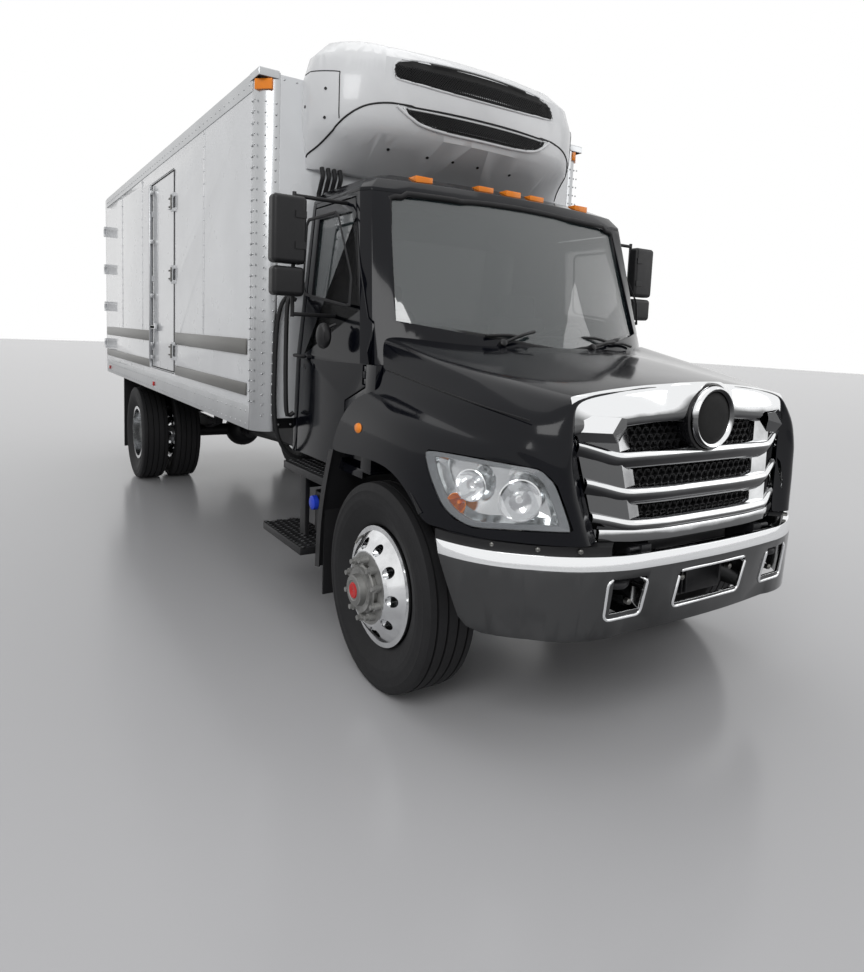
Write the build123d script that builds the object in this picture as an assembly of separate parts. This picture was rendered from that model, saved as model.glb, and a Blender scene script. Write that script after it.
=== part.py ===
"""Bonneted two-axle truck with an insulated body and a refrigeration unit over the cab.

Millimetres, +Z up. The nose points to -Y and the driver's (left-hand) side is +X.
Lengths along Y are written from the front axle's centre. save() moves every piece to the
part's origin, which is the centre of the truck's footprint on the ground.
"""
import math
import os

from build123d import *

# Driving dimensions: wheels and axles
WHEELBASE = 5587.0
TYRE_RADIUS = 518.0
TYRE_WIDTH = 279.0
TREAD_WIDTH = 232.0
BEAD_RADIUS = 286.0
RIM_FLANGE_RADIUS = 298.5
RIM_WIDTH = 210.0
RIM_WALL = 20.0
DISC_OFFSET = 170.0
DISC_THICKNESS = 22.0
HUB_RADIUS = 108.0
STUD_CIRCLE_RADIUS = 142.9
STUD_RADIUS = 12.0
STUD_COUNT = 10
NUT_RADIUS = 19.0
NUT_HEIGHT = 30.0
HAND_HOLE_RADIUS = 28.0
HAND_HOLE_CIRCLE = 215.0
DRUM_RADIUS = 206.0
DRUM_WALL = 14.0
DRUM_LENGTH = 190.0
FRONT_TRACK_HALF = 995.5
REAR_TRACK_HALF = 935.0
SPINDLE_RADIUS = 38.0
BEARING_GAP = 0.3
KINGPIN_X = 860.0
KINGPIN_RADIUS = 18.0
KINGPIN_BOSS_RADIUS = 46.0
PIVOT_GAP = 0.4
STEER_ARM_LENGTH = 170.0

# Driving dimensions: chassis
RAIL_OUTER_X = 432.0
RAIL_TOP_Z = 990.0
RAIL_HEIGHT = 240.0
RAIL_FLANGE = 75.0
RAIL_GAUGE = 9.0
RAIL_FRONT_Y = -900.0
RAIL_REAR_Y = 7060.0
SPRING_WIDTH = 76.0
FRONT_OVERHANG = 1120.0
BUMPER_BOTTOM_Z = 550.0
BUMPER_TOP_Z = 905.0
BUMPER_HALF_WIDTH = 1135.0
BUMPER_CREASE_Z = 845.0
BUMPER_LIP = 40.0
BUMPER_GAUGE = 12.0

# Driving dimensions: insulated body
BOX_HALF_WIDTH = 1298.8
BOX_FRONT_Y = 1280.0
BOX_LENGTH = 5866.0
BOX_BOTTOM_Z = 1116.0
BOX_TOP_Z = 3280.0
BOX_FLOOR_Z = 1330.0
BOX_WALL = 75.0
BOX_FRONT_WALL = 100.0
BOX_ROOF = 90.0
BOX_REAR_FRAME = 110.0
CORNER_RADIUS = 127.0
CAP_HEIGHT = 150.0
MARKER_LAMP_DEPTH = 12.0
TAIL_LAMP_RADIUS = 50.0
HEADER_LAMP_RADIUS = 25.0
TAIL_LAMP_DEPTH = 14.0
CROSS_MEMBER_HEIGHT = 84.0
FLOOR_EDGE = 20.0
BOTTOM_RAIL_HEIGHT = 155.0
TOP_RAIL_HEIGHT = 103.0
RAIL_PROUD = 4.0
RUB_RAIL_PROUD = 12.0
SIDE_DOOR_FRONT_Y = 3430.0
SIDE_DOOR_REAR_Y = 4320.0
SIDE_DOOR_TOP_Z = 3060.0
DOOR_GAP = 8.0
REAR_HINGE_LEVELS = (1480, 1950, 2420, 2890)
SIDE_HINGE_LEVELS = (1530, 2180, 2780)
HINGE_OUT = 12.0
HINGE_BACK = 20.0
HINGE_EYE = 11.0
LOCK_ROD_PROUD = 44.0

# Driving dimensions: cab and hood
CAB_WALL = 50.0
CAB_FLOOR_Z = 1010.0
COWL_Z = 1600.0
CAB_FRONT_Y = 150.0
CAB_BACK_Y = 1200.0
COWL_GAUGE = 12.0
CAB_DOOR_FRONT_Y = 262.0
CAB_DOOR_ARCH_Y = 490.0
CAB_DOOR_ARCH_Z = 1395.0
CAB_DOOR_REAR_Y = 1130.0
CAB_DOOR_BOTTOM_Z = 1015.0
CAB_DOOR_TOP_Z = 2490.0
CAB_DOOR_THICKNESS = 50.0
CAB_HINGE_X = 1060.0
CAB_HINGE_Y = 280.0
CAB_HINGE_RADIUS = 8.0
CAB_HINGE_LEVELS = ((1110, CAB_DOOR_ARCH_Y + 20), (1545, CAB_HINGE_Y + 40))
GLASS_THICKNESS = 6.0
HOOD_WALL = 14.0
HOOD_CAB_GAP = 12.0
HOOD_HINGE_Y = -1035.0
HOOD_HINGE_Z = 912.0
HOOD_PIN_RADIUS = 10.0
HOOD_BOTTOM_Z = 945.0
HOOD_REAR_Y = 240.0
LAMP_DEPTH = 20.0

# Driving dimensions: refrigeration unit
UNIT_HALF_WIDTH = 1035.0
UNIT_DEPTH = 490.0
UNIT_BOTTOM_Z = 2750.0
UNIT_TOP_Z = 3550.0
VENT_DEPTH = 12.0

BOX_REAR_Y = BOX_FRONT_Y + BOX_LENGTH
REAR_END_Y = BOX_REAR_Y + LOCK_ROD_PROUD
ORIGIN_Y = (REAR_END_Y - FRONT_OVERHANG) / 2
SIDES = (("right", -1), ("left", 1))


def block(x0, x1, y0, y1, z0, z1):
    """Box between two corners."""
    return Pos((x0 + x1) / 2, (y0 + y1) / 2, (z0 + z1) / 2) * Box(abs(x1 - x0), abs(y1 - y0), abs(z1 - z0))


def rod_x(x0, x1, y, z, radius):
    """Cylinder along X."""
    return Pos((x0 + x1) / 2, y, z) * Rot(0, 90, 0) * Cylinder(radius, abs(x1 - x0))


def rod_y(y0, y1, x, z, radius):
    """Cylinder along Y."""
    return Pos(x, (y0 + y1) / 2, z) * Rot(90, 0, 0) * Cylinder(radius, abs(y1 - y0))


def rod_z(z0, z1, x, y, radius):
    """Cylinder along Z."""
    return Pos(x, y, (z0 + z1) / 2) * Cylinder(radius, abs(z1 - z0))


def side_prism(points, x0, x1):
    """Prism across X from a (y, z) outline."""
    face = make_face(Plane.YZ * Polyline(*points, close=True))
    return Pos(x0, 0, 0) * extrude(face, amount=x1 - x0, dir=(1, 0, 0))


def front_prism(points, y0, y1):
    """Prism along Y from an (x, z) outline."""
    wire = Polyline(*[(x, y0, z) for x, z in points], close=True)
    return extrude(make_face(wire), amount=y1 - y0, dir=(0, 1, 0))


def plan_prism(points, z0, z1):
    """Prism along Z from an (x, y) outline."""
    wire = Polyline(*[(x, y, z0) for x, y in points], close=True)
    return extrude(make_face(wire), amount=z1 - z0, dir=(0, 0, 1))


def fuse(*shapes):
    """One shape from several that meet."""
    total = shapes[0]
    for shape in shapes[1:]:
        total = total + shape
    return total


def twin(shape):
    """The shape and its mirror image across the centre plane."""
    return [shape, mirror(shape, about=Plane.YZ)]


def sided(shape, side):
    """A right-hand piece as it is, or its mirror image for the left."""
    return shape if side < 0 else mirror(shape, about=Plane.YZ)


def save(name, *shapes):
    """Write one node, moved from the front axle's frame to the part's origin."""
    solids = [Pos(0, -ORIGIN_Y, 0) * solid for shape in shapes for solid in shape.solids()]
    export_step(solids[0] if len(solids) == 1 else Compound(solids), f"parts/{name}.step")


def revolve_x(points):
    """Solid turned about the X axis from (x, r) points."""
    wire = Polyline(*[(x, 0, r) for x, r in points], close=True)
    return revolve(make_face(wire), axis=Axis.X, revolution_arc=360)


def tyre():
    """Tyre about X, centred on its own mid plane."""
    half = TYRE_WIDTH / 2
    tread = TREAD_WIDTH / 2
    bead = RIM_WIDTH / 2 - 10
    neck = RIM_FLANGE_RADIUS + 1.5
    shoulder = TYRE_RADIUS - 16
    side = [
        Line((-bead, 0, BEAD_RADIUS), (bead, 0, BEAD_RADIUS)),
        Line((bead, 0, BEAD_RADIUS), (bead, 0, neck)),
        ThreePointArc((bead, 0, neck), (half - 8, 0, 345), (half, 0, 405)),
        ThreePointArc((half, 0, 405), (half - 4, 0, 460), (tread + 8, 0, shoulder)),
        ThreePointArc((tread + 8, 0, shoulder), (tread, 0, TYRE_RADIUS - 5), (tread - 12, 0, TYRE_RADIUS)),
        Line((tread - 12, 0, TYRE_RADIUS), (-tread + 12, 0, TYRE_RADIUS)),
        ThreePointArc((-tread + 12, 0, TYRE_RADIUS), (-tread, 0, TYRE_RADIUS - 5), (-tread - 8, 0, shoulder)),
        ThreePointArc((-tread - 8, 0, shoulder), (-half + 4, 0, 460), (-half, 0, 405)),
        ThreePointArc((-half, 0, 405), (-half + 8, 0, 345), (-bead, 0, neck)),
        Line((-bead, 0, neck), (-bead, 0, BEAD_RADIUS)),
    ]
    return revolve(make_face(Wire(side)), axis=Axis.X, revolution_arc=360)


def rim():
    """Wheel about X with its disc bulging to -X, centred on the tyre's mid plane."""
    half = RIM_WIDTH / 2
    inner = BEAD_RADIUS - RIM_WALL
    face = -DISC_OFFSET
    back = face + DISC_THICKNESS
    bore = HUB_RADIUS - 2
    barrel = [(-half, inner), (half, inner), (half, RIM_FLANGE_RADIUS), (half - 10, RIM_FLANGE_RADIUS),
              (half - 10, BEAD_RADIUS), (-half + 10, BEAD_RADIUS), (-half + 10, RIM_FLANGE_RADIUS),
              (-half, RIM_FLANGE_RADIUS)]
    disc = [(face, bore), (face, 182), (face + 10, 200), (-half, inner + 8), (-half + 30, inner + 8),
            (-half + 30, inner - 4), (back + 16, 190), (back, 175), (back, bore)]
    body = fuse(revolve_x(barrel), revolve_x(disc))
    for index in range(10):
        turn = math.radians(36 * index + 18)
        hole = rod_x(-DISC_OFFSET - 20, 0, HAND_HOLE_CIRCLE * math.sin(turn),
                     HAND_HOLE_CIRCLE * math.cos(turn), HAND_HOLE_RADIUS)
        body = body - hole
    return body


def hub(nut_face, nose_x, nose_radius, drum_end):
    """Hub, nuts and brake drum about X, to be fused with a wheel whose nuts bear on nut_face."""
    back = nut_face + DISC_THICKNESS
    body = [rod_x(nose_x, drum_end, 0, 0, HUB_RADIUS)]
    body.append(rod_x(nose_x - 30, nose_x, 0, 0, nose_radius))
    body.append(rod_x(back, back + 24, 0, 0, DRUM_RADIUS))
    drum = rod_x(back, drum_end, 0, 0, DRUM_RADIUS) - rod_x(back - 1, drum_end + 1, 0, 0, DRUM_RADIUS - DRUM_WALL)
    body.append(drum)
    for index in range(STUD_COUNT):
        turn = math.radians(360 / STUD_COUNT * index)
        y = STUD_CIRCLE_RADIUS * math.sin(turn)
        z = STUD_CIRCLE_RADIUS * math.cos(turn)
        body.append(rod_x(nut_face - NUT_HEIGHT, nut_face, y, z, NUT_RADIUS))
        body.append(rod_x(nut_face - NUT_HEIGHT - 18, nut_face, y, z, STUD_RADIUS))
    return fuse(*body)


def build_wheels():
    """Tyres and wheels of both axles."""
    front_face = -DISC_OFFSET
    drum_end = front_face + DISC_THICKNESS + DRUM_LENGTH
    spindle_hole = rod_x(front_face + 10, drum_end + 5, 0, 0, SPINDLE_RADIUS + BEARING_GAP)
    front = fuse(rim(), hub(front_face, front_face - 40, 74, drum_end)) - spindle_hole
    dual = DISC_OFFSET
    outer = Pos(-dual, 0, 0) * mirror(rim(), about=Plane.YZ)
    inner = Pos(dual, 0, 0) * rim()
    rear_nut = -DISC_THICKNESS
    rear_end = 2 * DISC_THICKNESS + DRUM_LENGTH
    rear_hub = hub(rear_nut, -110, 88, rear_end)
    web = rod_x(0, DISC_THICKNESS + 2, 0, 0, 176)
    rear = fuse(outer, inner, rear_hub, web)
    rear = rear - rod_x(-60, rear_end + 5, 0, 0, SPINDLE_RADIUS + BEARING_GAP)
    for label, side in SIDES:
        at_front = Pos(-FRONT_TRACK_HALF, 0, TYRE_RADIUS)
        at_rear = Pos(-REAR_TRACK_HALF, WHEELBASE, TYRE_RADIUS)
        save(f"front_tyre_{label}", sided(at_front * tyre(), side))
        save(f"front_wheel_{label}", sided(at_front * front, side))
        duals = [at_rear * Pos(step, 0, 0) * tyre() for step in (-dual, dual)]
        save(f"rear_tyres_{label}", *[sided(one, side) for one in duals])
        save(f"rear_wheels_{label}", sided(at_rear * rear, side))


def build_steering():
    """Knuckles, tie rod and front axle beam."""
    axle_z = TYRE_RADIUS
    boss_half = 50.0
    drum_inner_x = -FRONT_TRACK_HALF - DISC_OFFSET + DISC_THICKNESS + DRUM_LENGTH
    web_x = -KINGPIN_X - KINGPIN_BOSS_RADIUS - 8
    arm_z = axle_z - 95
    yoke = [rod_z(axle_z + boss_half + 4, axle_z + boss_half + 44, -KINGPIN_X, 0, KINGPIN_BOSS_RADIUS),
            rod_z(axle_z - boss_half - 60, axle_z - boss_half - 4, -KINGPIN_X, 0, KINGPIN_BOSS_RADIUS),
            block(web_x - 22, web_x, -50, 50, axle_z - boss_half - 60, axle_z + boss_half + 44),
            block(web_x, -KINGPIN_X, -46, 46, axle_z + boss_half + 4, axle_z + boss_half + 44),
            block(web_x, -KINGPIN_X, -46, 46, axle_z - boss_half - 60, axle_z - boss_half - 4),
            rod_x(web_x - 30, web_x - 20, 0, axle_z, DRUM_RADIUS - DRUM_WALL - 8),
            rod_x(-FRONT_TRACK_HALF - DISC_OFFSET + 40, web_x, 0, axle_z, SPINDLE_RADIUS),
            rod_z(axle_z - boss_half - 60, axle_z + boss_half + 44, -KINGPIN_X, 0, KINGPIN_RADIUS),
            block(-KINGPIN_X - 20, -KINGPIN_X + 20, 20, STEER_ARM_LENGTH, arm_z - 15, arm_z + 15),
            rod_z(arm_z - 60, arm_z + 15, -KINGPIN_X, STEER_ARM_LENGTH, 9)]
    knuckle = fuse(*yoke)
    for label, side in SIDES:
        save(f"knuckle_{label}", sided(knuckle, side))
    beam_drop = 90.0
    eye = rod_z(axle_z - boss_half, axle_z + boss_half, -KINGPIN_X, 0, KINGPIN_BOSS_RADIUS)
    eye = eye + block(-KINGPIN_X, -KINGPIN_X + 70, -34, 34, axle_z - boss_half, axle_z + boss_half)
    slope = front_prism([(-KINGPIN_X + 60, axle_z + 50), (-KINGPIN_X + 60, axle_z - 50), (-650, axle_z - beam_drop - 50),
                         (-650, axle_z - beam_drop + 50)], -38, 38)
    centre = block(-650, 650, -38, 38, axle_z - beam_drop - 50, axle_z - beam_drop + 50)
    web = block(-640, 640, -60, -12, axle_z - beam_drop - 28, axle_z - beam_drop + 28)
    ends = twin(eye + slope)
    beam = fuse(centre, *ends) - web - mirror(web, about=Plane.XZ)
    for shape in twin(rod_z(axle_z - 80, axle_z + 80, -KINGPIN_X, 0, KINGPIN_RADIUS + PIVOT_GAP)):
        beam = beam - shape
    seat_z = axle_z - beam_drop + 50
    pads = twin(block(-RAIL_OUTER_X - 5, -RAIL_OUTER_X + 75, -60, 60, seat_z, seat_z + 20))
    save("front_axle", fuse(beam, *pads))
    eye_z = arm_z - 38
    bar = rod_x(-KINGPIN_X + 20, KINGPIN_X - 20, STEER_ARM_LENGTH, eye_z, 18)
    rings = twin(rod_z(eye_z - 20, eye_z + 20, -KINGPIN_X, STEER_ARM_LENGTH, 26))
    rod = fuse(bar, *rings)
    for shape in twin(rod_z(eye_z - 30, eye_z + 30, -KINGPIN_X, STEER_ARM_LENGTH, 9 + PIVOT_GAP)):
        rod = rod - shape
    save("tie_rod", rod)


def build_chassis():
    """Rails, axle, springs, powertrain, tanks, steps, flaps, bumper and rear guard."""
    bottom = RAIL_TOP_Z - RAIL_HEIGHT
    rail = block(-RAIL_OUTER_X, -RAIL_OUTER_X + RAIL_FLANGE, RAIL_FRONT_Y, RAIL_REAR_Y, bottom, RAIL_TOP_Z)
    rail = rail - block(-RAIL_OUTER_X + RAIL_GAUGE, -RAIL_OUTER_X + RAIL_FLANGE + 1, RAIL_FRONT_Y - 1, RAIL_REAR_Y + 1,
                        bottom + RAIL_GAUGE, RAIL_TOP_Z - RAIL_GAUGE)
    members = [block(-RAIL_OUTER_X + RAIL_GAUGE, RAIL_OUTER_X - RAIL_GAUGE, y - 40, y + 40, bottom + 30, bottom + 150)
               for y in (RAIL_FRONT_Y + 50, 1500, 2600, 3700, 4700, 6400, RAIL_REAR_Y - 41)]
    save("frame_rails", fuse(*twin(rail), *members))

    axle_y = WHEELBASE
    tube = rod_x(-REAR_TRACK_HALF + 70, REAR_TRACK_HALF - 70, axle_y, TYRE_RADIUS, SPINDLE_RADIUS)
    housing = rod_x(-640, 640, axle_y, TYRE_RADIUS, 70)
    bowl = Pos(0, axle_y, TYRE_RADIUS) * Sphere(205)
    nose = rod_y(axle_y - 330, axle_y, 0, TYRE_RADIUS + 20, 90)
    plates = twin(rod_x(-640, -600, axle_y, TYRE_RADIUS, DRUM_RADIUS - 16))
    save("rear_axle", fuse(tube, housing, bowl, nose, *plates))

    springs = []
    rear_spring_x = RAIL_OUTER_X + SPRING_WIDTH / 2 + 6
    seat_front = TYRE_RADIUS - 20
    for index in range(3):
        z = seat_front + index * 26
        length = 330 + 140 * index
        springs += twin(block(-RAIL_OUTER_X, -RAIL_OUTER_X + SPRING_WIDTH - 6, -length, length, z, z + 26))
    stack_top = seat_front + 78
    for y in (-560, 560):
        springs += twin(block(-RAIL_OUTER_X + 8, -RAIL_OUTER_X + 62, y - 35, y + 35, stack_top, bottom))
    front_pack = springs
    springs = []
    seat_rear = TYRE_RADIUS + 70
    for index in range(4):
        z = seat_rear + index * 28
        length = 300 + 120 * index
        springs += twin(block(-rear_spring_x - SPRING_WIDTH / 2, -rear_spring_x + SPRING_WIDTH / 2,
                              axle_y - length, axle_y + length, z, z + 28))
    rear_top = seat_rear + 112
    for y in (axle_y - 610, axle_y + 610):
        springs += twin(block(-rear_spring_x - 34, -RAIL_OUTER_X, y - 40, y + 40, rear_top, rear_top + 190))
    springs += twin(block(-rear_spring_x - 40, -rear_spring_x + 40, axle_y - 60, axle_y + 60, TYRE_RADIUS + 60, seat_rear))
    save("leaf_springs", fuse(*front_pack), fuse(*springs) - housing)

    engine_back = CAB_FRONT_Y - 30
    engine = block(-300, 300, -650, engine_back, 640, 1400)
    sump = block(-180, 180, -600, engine_back - 10, 560, 640)
    gearbox = block(-190, 190, engine_back, 1180, 640, 960)
    start = Vector(0, 1180, 740)
    end = Vector(0, axle_y - 330, TYRE_RADIUS + 20)
    run = end - start
    shaft = Plane(origin=start + run * 0.5, z_dir=run) * Cylinder(50, run.length)
    shaft = shaft - nose - engine - gearbox
    save("powertrain", fuse(engine, sump, gearbox), shaft)
    radiator = block(-345, 345, -790, -710, RAIL_TOP_Z - RAIL_HEIGHT + 60, 1440)
    save("radiator", radiator)

    tank = block(-1150, -600, 1750, 2950, 640, 1090)
    tank = fillet(tank.edges().filter_by(Axis.Y), 90)
    straps = [block(-600, -RAIL_OUTER_X, y - 35, y + 35, 800, 960) for y in (2050, 2650)]
    save("fuel_tank", mirror(fuse(tank, *straps), about=Plane.YZ))
    def_tank = fillet(block(-1040, -640, 640, 960, 560, 800).edges().filter_by(Axis.Z), 40)
    cap = rod_z(800, 850, -985, 720, 42)
    strap = block(-640, -RAIL_OUTER_X, 760, 840, 750, 800)
    save("fluid_tank", fuse(def_tank, cap, strap))

    steps = []
    for y0, y1, x_out, z in ((760, 1390, 1200, 510), (610, 1230, 1130, 940)):
        steps.append(block(-x_out, -x_out + 270, y0, y1, z - 45, z))
    carrier = block(-1075, -1045, 1000, 1080, 465, 940)
    hanger = block(-1045, -RAIL_OUTER_X, 1020, 1060, 800, 870)
    save("cab_steps", *twin(fuse(*steps, carrier, hanger)))

    flaps = []
    front_flap = fuse(block(-1130, -700, 588, 600, 280, 1000), block(-700, -RAIL_OUTER_X, 588, 600, 880, 950))
    rear_flap = fuse(block(-1240, -640, axle_y + 660, axle_y + 672, 260, 1100),
                     block(-640, -RAIL_OUTER_X, axle_y + 660, axle_y + 672, 900, 970))
    for flap in (front_flap, rear_flap):
        flaps += twin(flap)
    save("mud_flaps", *flaps)

    save("bumper", bumper_form())
    horns = twin(block(-RAIL_OUTER_X + 5, -RAIL_OUTER_X + 65, HOOD_HINGE_Y - 14, RAIL_FRONT_Y, 770, HOOD_HINGE_Z + 14))
    pivots = twin(rod_x(-RAIL_OUTER_X - 60, -RAIL_OUTER_X + 5, HOOD_HINGE_Y, HOOD_HINGE_Z, HOOD_PIN_RADIUS))
    save("hood_hinges", *[fuse(a, b) for a, b in zip(horns, pivots)])
    guard = block(-1050, 1050, 7050, 7140, 560, 660)
    posts = twin(block(-RAIL_OUTER_X, -RAIL_OUTER_X + 90, 7060, 7130, 660, BOX_BOTTOM_Z))
    save("rear_guard", fuse(guard, *posts))


def bumper_form():
    """Front bumper: a bowed channel with slanted ends, a crease near its top and three openings."""
    half = BUMPER_HALF_WIDTH
    nose = FRONT_OVERHANG
    levels = (
        # z, how far the middle and the corners stand back from the crease
        (BUMPER_TOP_Z, 14, 10),
        (BUMPER_CREASE_Z, 0, 0),
        (BUMPER_BOTTOM_Z, 60, 16),
    )

    def skin(inset):
        faces = []
        for z, middle_back, corner_back in levels:
            near = inset + corner_back
            front = inset + middle_back
            tip = (half - inset - corner_back * 0.5, -450, z)
            bend = (half * 0.935 - near, -720 + near * 0.5, z)
            corner = (half * 0.793 - near * 0.7, -905 + near * 0.8, z)
            cheek = (half * 0.617 - near * 0.3, -1035 + near, z)
            flank = (half * 0.441, -1095 + front, z)
            points = [tip, bend, corner, cheek, flank]
            far = [(-x, y, level) for x, y, level in points]
            edges = [ThreePointArc(tip, bend, corner), ThreePointArc(corner, cheek, flank),
                     ThreePointArc(flank, (0, -nose + front, z), far[4]), ThreePointArc(far[4], far[3], far[2]),
                     ThreePointArc(far[2], far[1], far[0]), Line(far[0], tip)]
            faces.append(make_face(Wire(edges)))
        return loft(faces, ruled=True)

    outer = skin(0)
    shell = outer - skin(BUMPER_GAUGE)
    lip = (outer - skin(BUMPER_LIP)) & block(-half, half, -nose, 0, BUMPER_TOP_Z - BUMPER_GAUGE, BUMPER_TOP_Z)
    shell = shell + lip
    ends = side_prism([(-530, BUMPER_TOP_Z + 10), (-530, BUMPER_TOP_Z), (-655, 600), (-690, 565), (-750, BUMPER_BOTTOM_Z),
                       (-750, 500), (-300, 500), (-300, BUMPER_TOP_Z + 10)], -half - 50, half + 50)
    lip_z = BUMPER_TOP_Z - BUMPER_GAUGE
    cuts = [ends, block(-235, 235, -1300, -900, 650, 800)]
    cuts += twin(block(-RAIL_OUTER_X - 70, -RAIL_OUTER_X + 80, HOOD_HINGE_Y - 33, 0, lip_z - 5, BUMPER_TOP_Z + 5))
    cuts += twin(block(-600, -430, -1300, -800, 660, 810))
    for cut in cuts:
        shell = shell - cut
    brackets = twin(block(-RAIL_OUTER_X - 5, -RAIL_OUTER_X + 75, -nose, RAIL_FRONT_Y, 600, 745))
    inside = skin(2)
    return fuse(shell, *[bracket & inside for bracket in brackets])


def build_box():
    """Insulated body: subframe, floor, walls, roof, rear frame, posts, rails and doors."""
    half = BOX_HALF_WIDTH
    inner = half - BOX_WALL
    post_y = BOX_FRONT_Y + CORNER_RADIUS
    wall_top = BOX_TOP_Z - BOX_ROOF
    frame_y = BOX_REAR_Y - BOX_REAR_FRAME
    sill = twin(block(-RAIL_OUTER_X, -RAIL_OUTER_X + 60, BOX_FRONT_Y + 60, RAIL_REAR_Y - 60, RAIL_TOP_Z, BOX_BOTTOM_Z))
    cross = []
    count = 15
    for index in range(count):
        y = BOX_FRONT_Y + 150 + index * (BOX_LENGTH - 400) / (count - 1)
        cross.append(block(-half + FLOOR_EDGE, half - FLOOR_EDGE, y - 22, y + 22,
                           BOX_BOTTOM_Z, BOX_BOTTOM_Z + CROSS_MEMBER_HEIGHT))
    save("box_sills", *sill)
    save("box_cross_members", *cross)
    floor_bottom = BOX_BOTTOM_Z + CROSS_MEMBER_HEIGHT
    rail_top = BOX_BOTTOM_Z + BOTTOM_RAIL_HEIGHT
    save("box_floor", block(-inner, inner, post_y, frame_y, floor_bottom, BOX_FLOOR_Z))
    front = block(-half + CORNER_RADIUS, half - CORNER_RADIUS, BOX_FRONT_Y, BOX_FRONT_Y + BOX_FRONT_WALL,
                  floor_bottom, BOX_TOP_Z - 10)
    save("box_front_wall", front)
    wall = fuse(block(-half, -inner, post_y, frame_y, rail_top, wall_top),
                block(-half + FLOOR_EDGE, -inner, post_y, frame_y, floor_bottom, rail_top))
    save("box_left_wall", mirror(wall, about=Plane.YZ))
    doorway = block(-half - 10, -inner + 10, SIDE_DOOR_FRONT_Y - DOOR_GAP, SIDE_DOOR_REAR_Y + DOOR_GAP,
                    BOX_FLOOR_Z - 1, SIDE_DOOR_TOP_Z + DOOR_GAP)
    side_pin = (-half - HINGE_BACK, SIDE_DOOR_FRONT_Y - DOOR_GAP - HINGE_EYE)
    lugs = []
    for z in SIDE_HINGE_LEVELS:
        for low in (z - 77, z + 47):
            plate = block(-half - 10, -half, side_pin[1] - 60, side_pin[1] + 4, low, low + 30)
            knob = block(side_pin[0], -half, side_pin[1] - HINGE_EYE, side_pin[1] + 4, low, low + 30)
            lugs.append(fuse(plate, knob, rod_z(low, low + 30, *side_pin, HINGE_EYE)))
    save("box_right_wall", fuse(wall - doorway, *lugs))
    save("box_roof", block(-half + 10, half - 10, post_y, frame_y, wall_top, BOX_TOP_Z))
    rear = block(-half, half, frame_y, BOX_REAR_Y, BOX_BOTTOM_Z, BOX_TOP_Z)
    rear = rear - block(-half + 100, half - 100, frame_y - 1, BOX_REAR_Y + 1, BOX_FLOOR_Z, BOX_TOP_Z - 150)
    lugs = []
    for z in REAR_HINGE_LEVELS:
        for low in (z - 60, z + 30):
            lug = block(-half - HINGE_OUT - HINGE_EYE, -half, BOX_REAR_Y - 60, BOX_REAR_Y + HINGE_BACK - 4, low, low + 30)
            lug = lug - block(-half - HINGE_OUT + 4, 0, BOX_REAR_Y, BOX_REAR_Y + 100, 0, 5000)
            lugs += twin(fuse(lug, rod_z(low, low + 30, -half - HINGE_OUT, BOX_REAR_Y + HINGE_BACK, HINGE_EYE)))
    save("box_rear_frame", fuse(rear, *lugs))

    ring = Pos(-half + CORNER_RADIUS, post_y, (BOX_BOTTOM_Z + BOX_TOP_Z) / 2)
    tall = BOX_TOP_Z - BOX_BOTTOM_Z
    post = ring * Cylinder(CORNER_RADIUS, tall) - ring * Cylinder(CORNER_RADIUS - 60, tall + 2)
    post = post & block(-half - 1, -half + CORNER_RADIUS, BOX_FRONT_Y - 1, post_y, 0, 4000)
    bottom = block(-half - RAIL_PROUD, -half + FLOOR_EDGE, post_y, frame_y, BOX_BOTTOM_Z, rail_top)
    top = block(-half - RAIL_PROUD, -half, post_y, frame_y, BOX_TOP_Z - TOP_RAIL_HEIGHT, BOX_TOP_Z)
    edge = block(-half - RAIL_PROUD, -half + 10, post_y, frame_y, BOX_TOP_Z, BOX_TOP_Z + 6)
    save("box_posts_and_rails", *twin(fuse(post, bottom)), *twin(fuse(top, edge)))

    strips = []
    for z0, z1 in ((1319, 1410), (1589, 1691)):
        for y0, y1 in ((BOX_FRONT_Y + 170, SIDE_DOOR_FRONT_Y - 80), (SIDE_DOOR_REAR_Y + 60, frame_y)):
            strips.append(block(-half - RUB_RAIL_PROUD, -half, y0, y1, max(z0, BOX_FLOOR_Z), z1))
        strips.append(block(half, half + RUB_RAIL_PROUD, BOX_FRONT_Y + 170, frame_y, max(z0, BOX_FLOOR_Z), z1))
    save("rub_rails", *strips)

    leaf = block(-half, -inner, SIDE_DOOR_FRONT_Y, SIDE_DOOR_REAR_Y, BOX_FLOOR_Z + 6, SIDE_DOOR_TOP_Z)
    pieces = [leaf]
    for z in SIDE_HINGE_LEVELS:
        pieces.append(block(-half - 26, -half, SIDE_DOOR_FRONT_Y + 4, SIDE_DOOR_FRONT_Y + 130, z - 45, z + 45))
        pieces.append(block(-half - 26, -half - 16, side_pin[1], SIDE_DOOR_FRONT_Y + 10, z - 45, z + 45))
        pieces.append(rod_z(z - 45, z + 45, *side_pin, HINGE_EYE))
        pieces.append(block(-half - 26, -half, SIDE_DOOR_REAR_Y - 60, SIDE_DOOR_REAR_Y - 20, z - 25, z + 25))
    pieces.append(rod_z(BOX_FLOOR_Z + 10, SIDE_DOOR_TOP_Z - 10, -half - 20, SIDE_DOOR_REAR_Y - 40, 12))
    pieces.append(block(-half - 36, -half - 20, SIDE_DOOR_REAR_Y - 300, SIDE_DOOR_REAR_Y - 30, 1710, 1740))
    save("side_door", fuse(*pieces))

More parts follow.
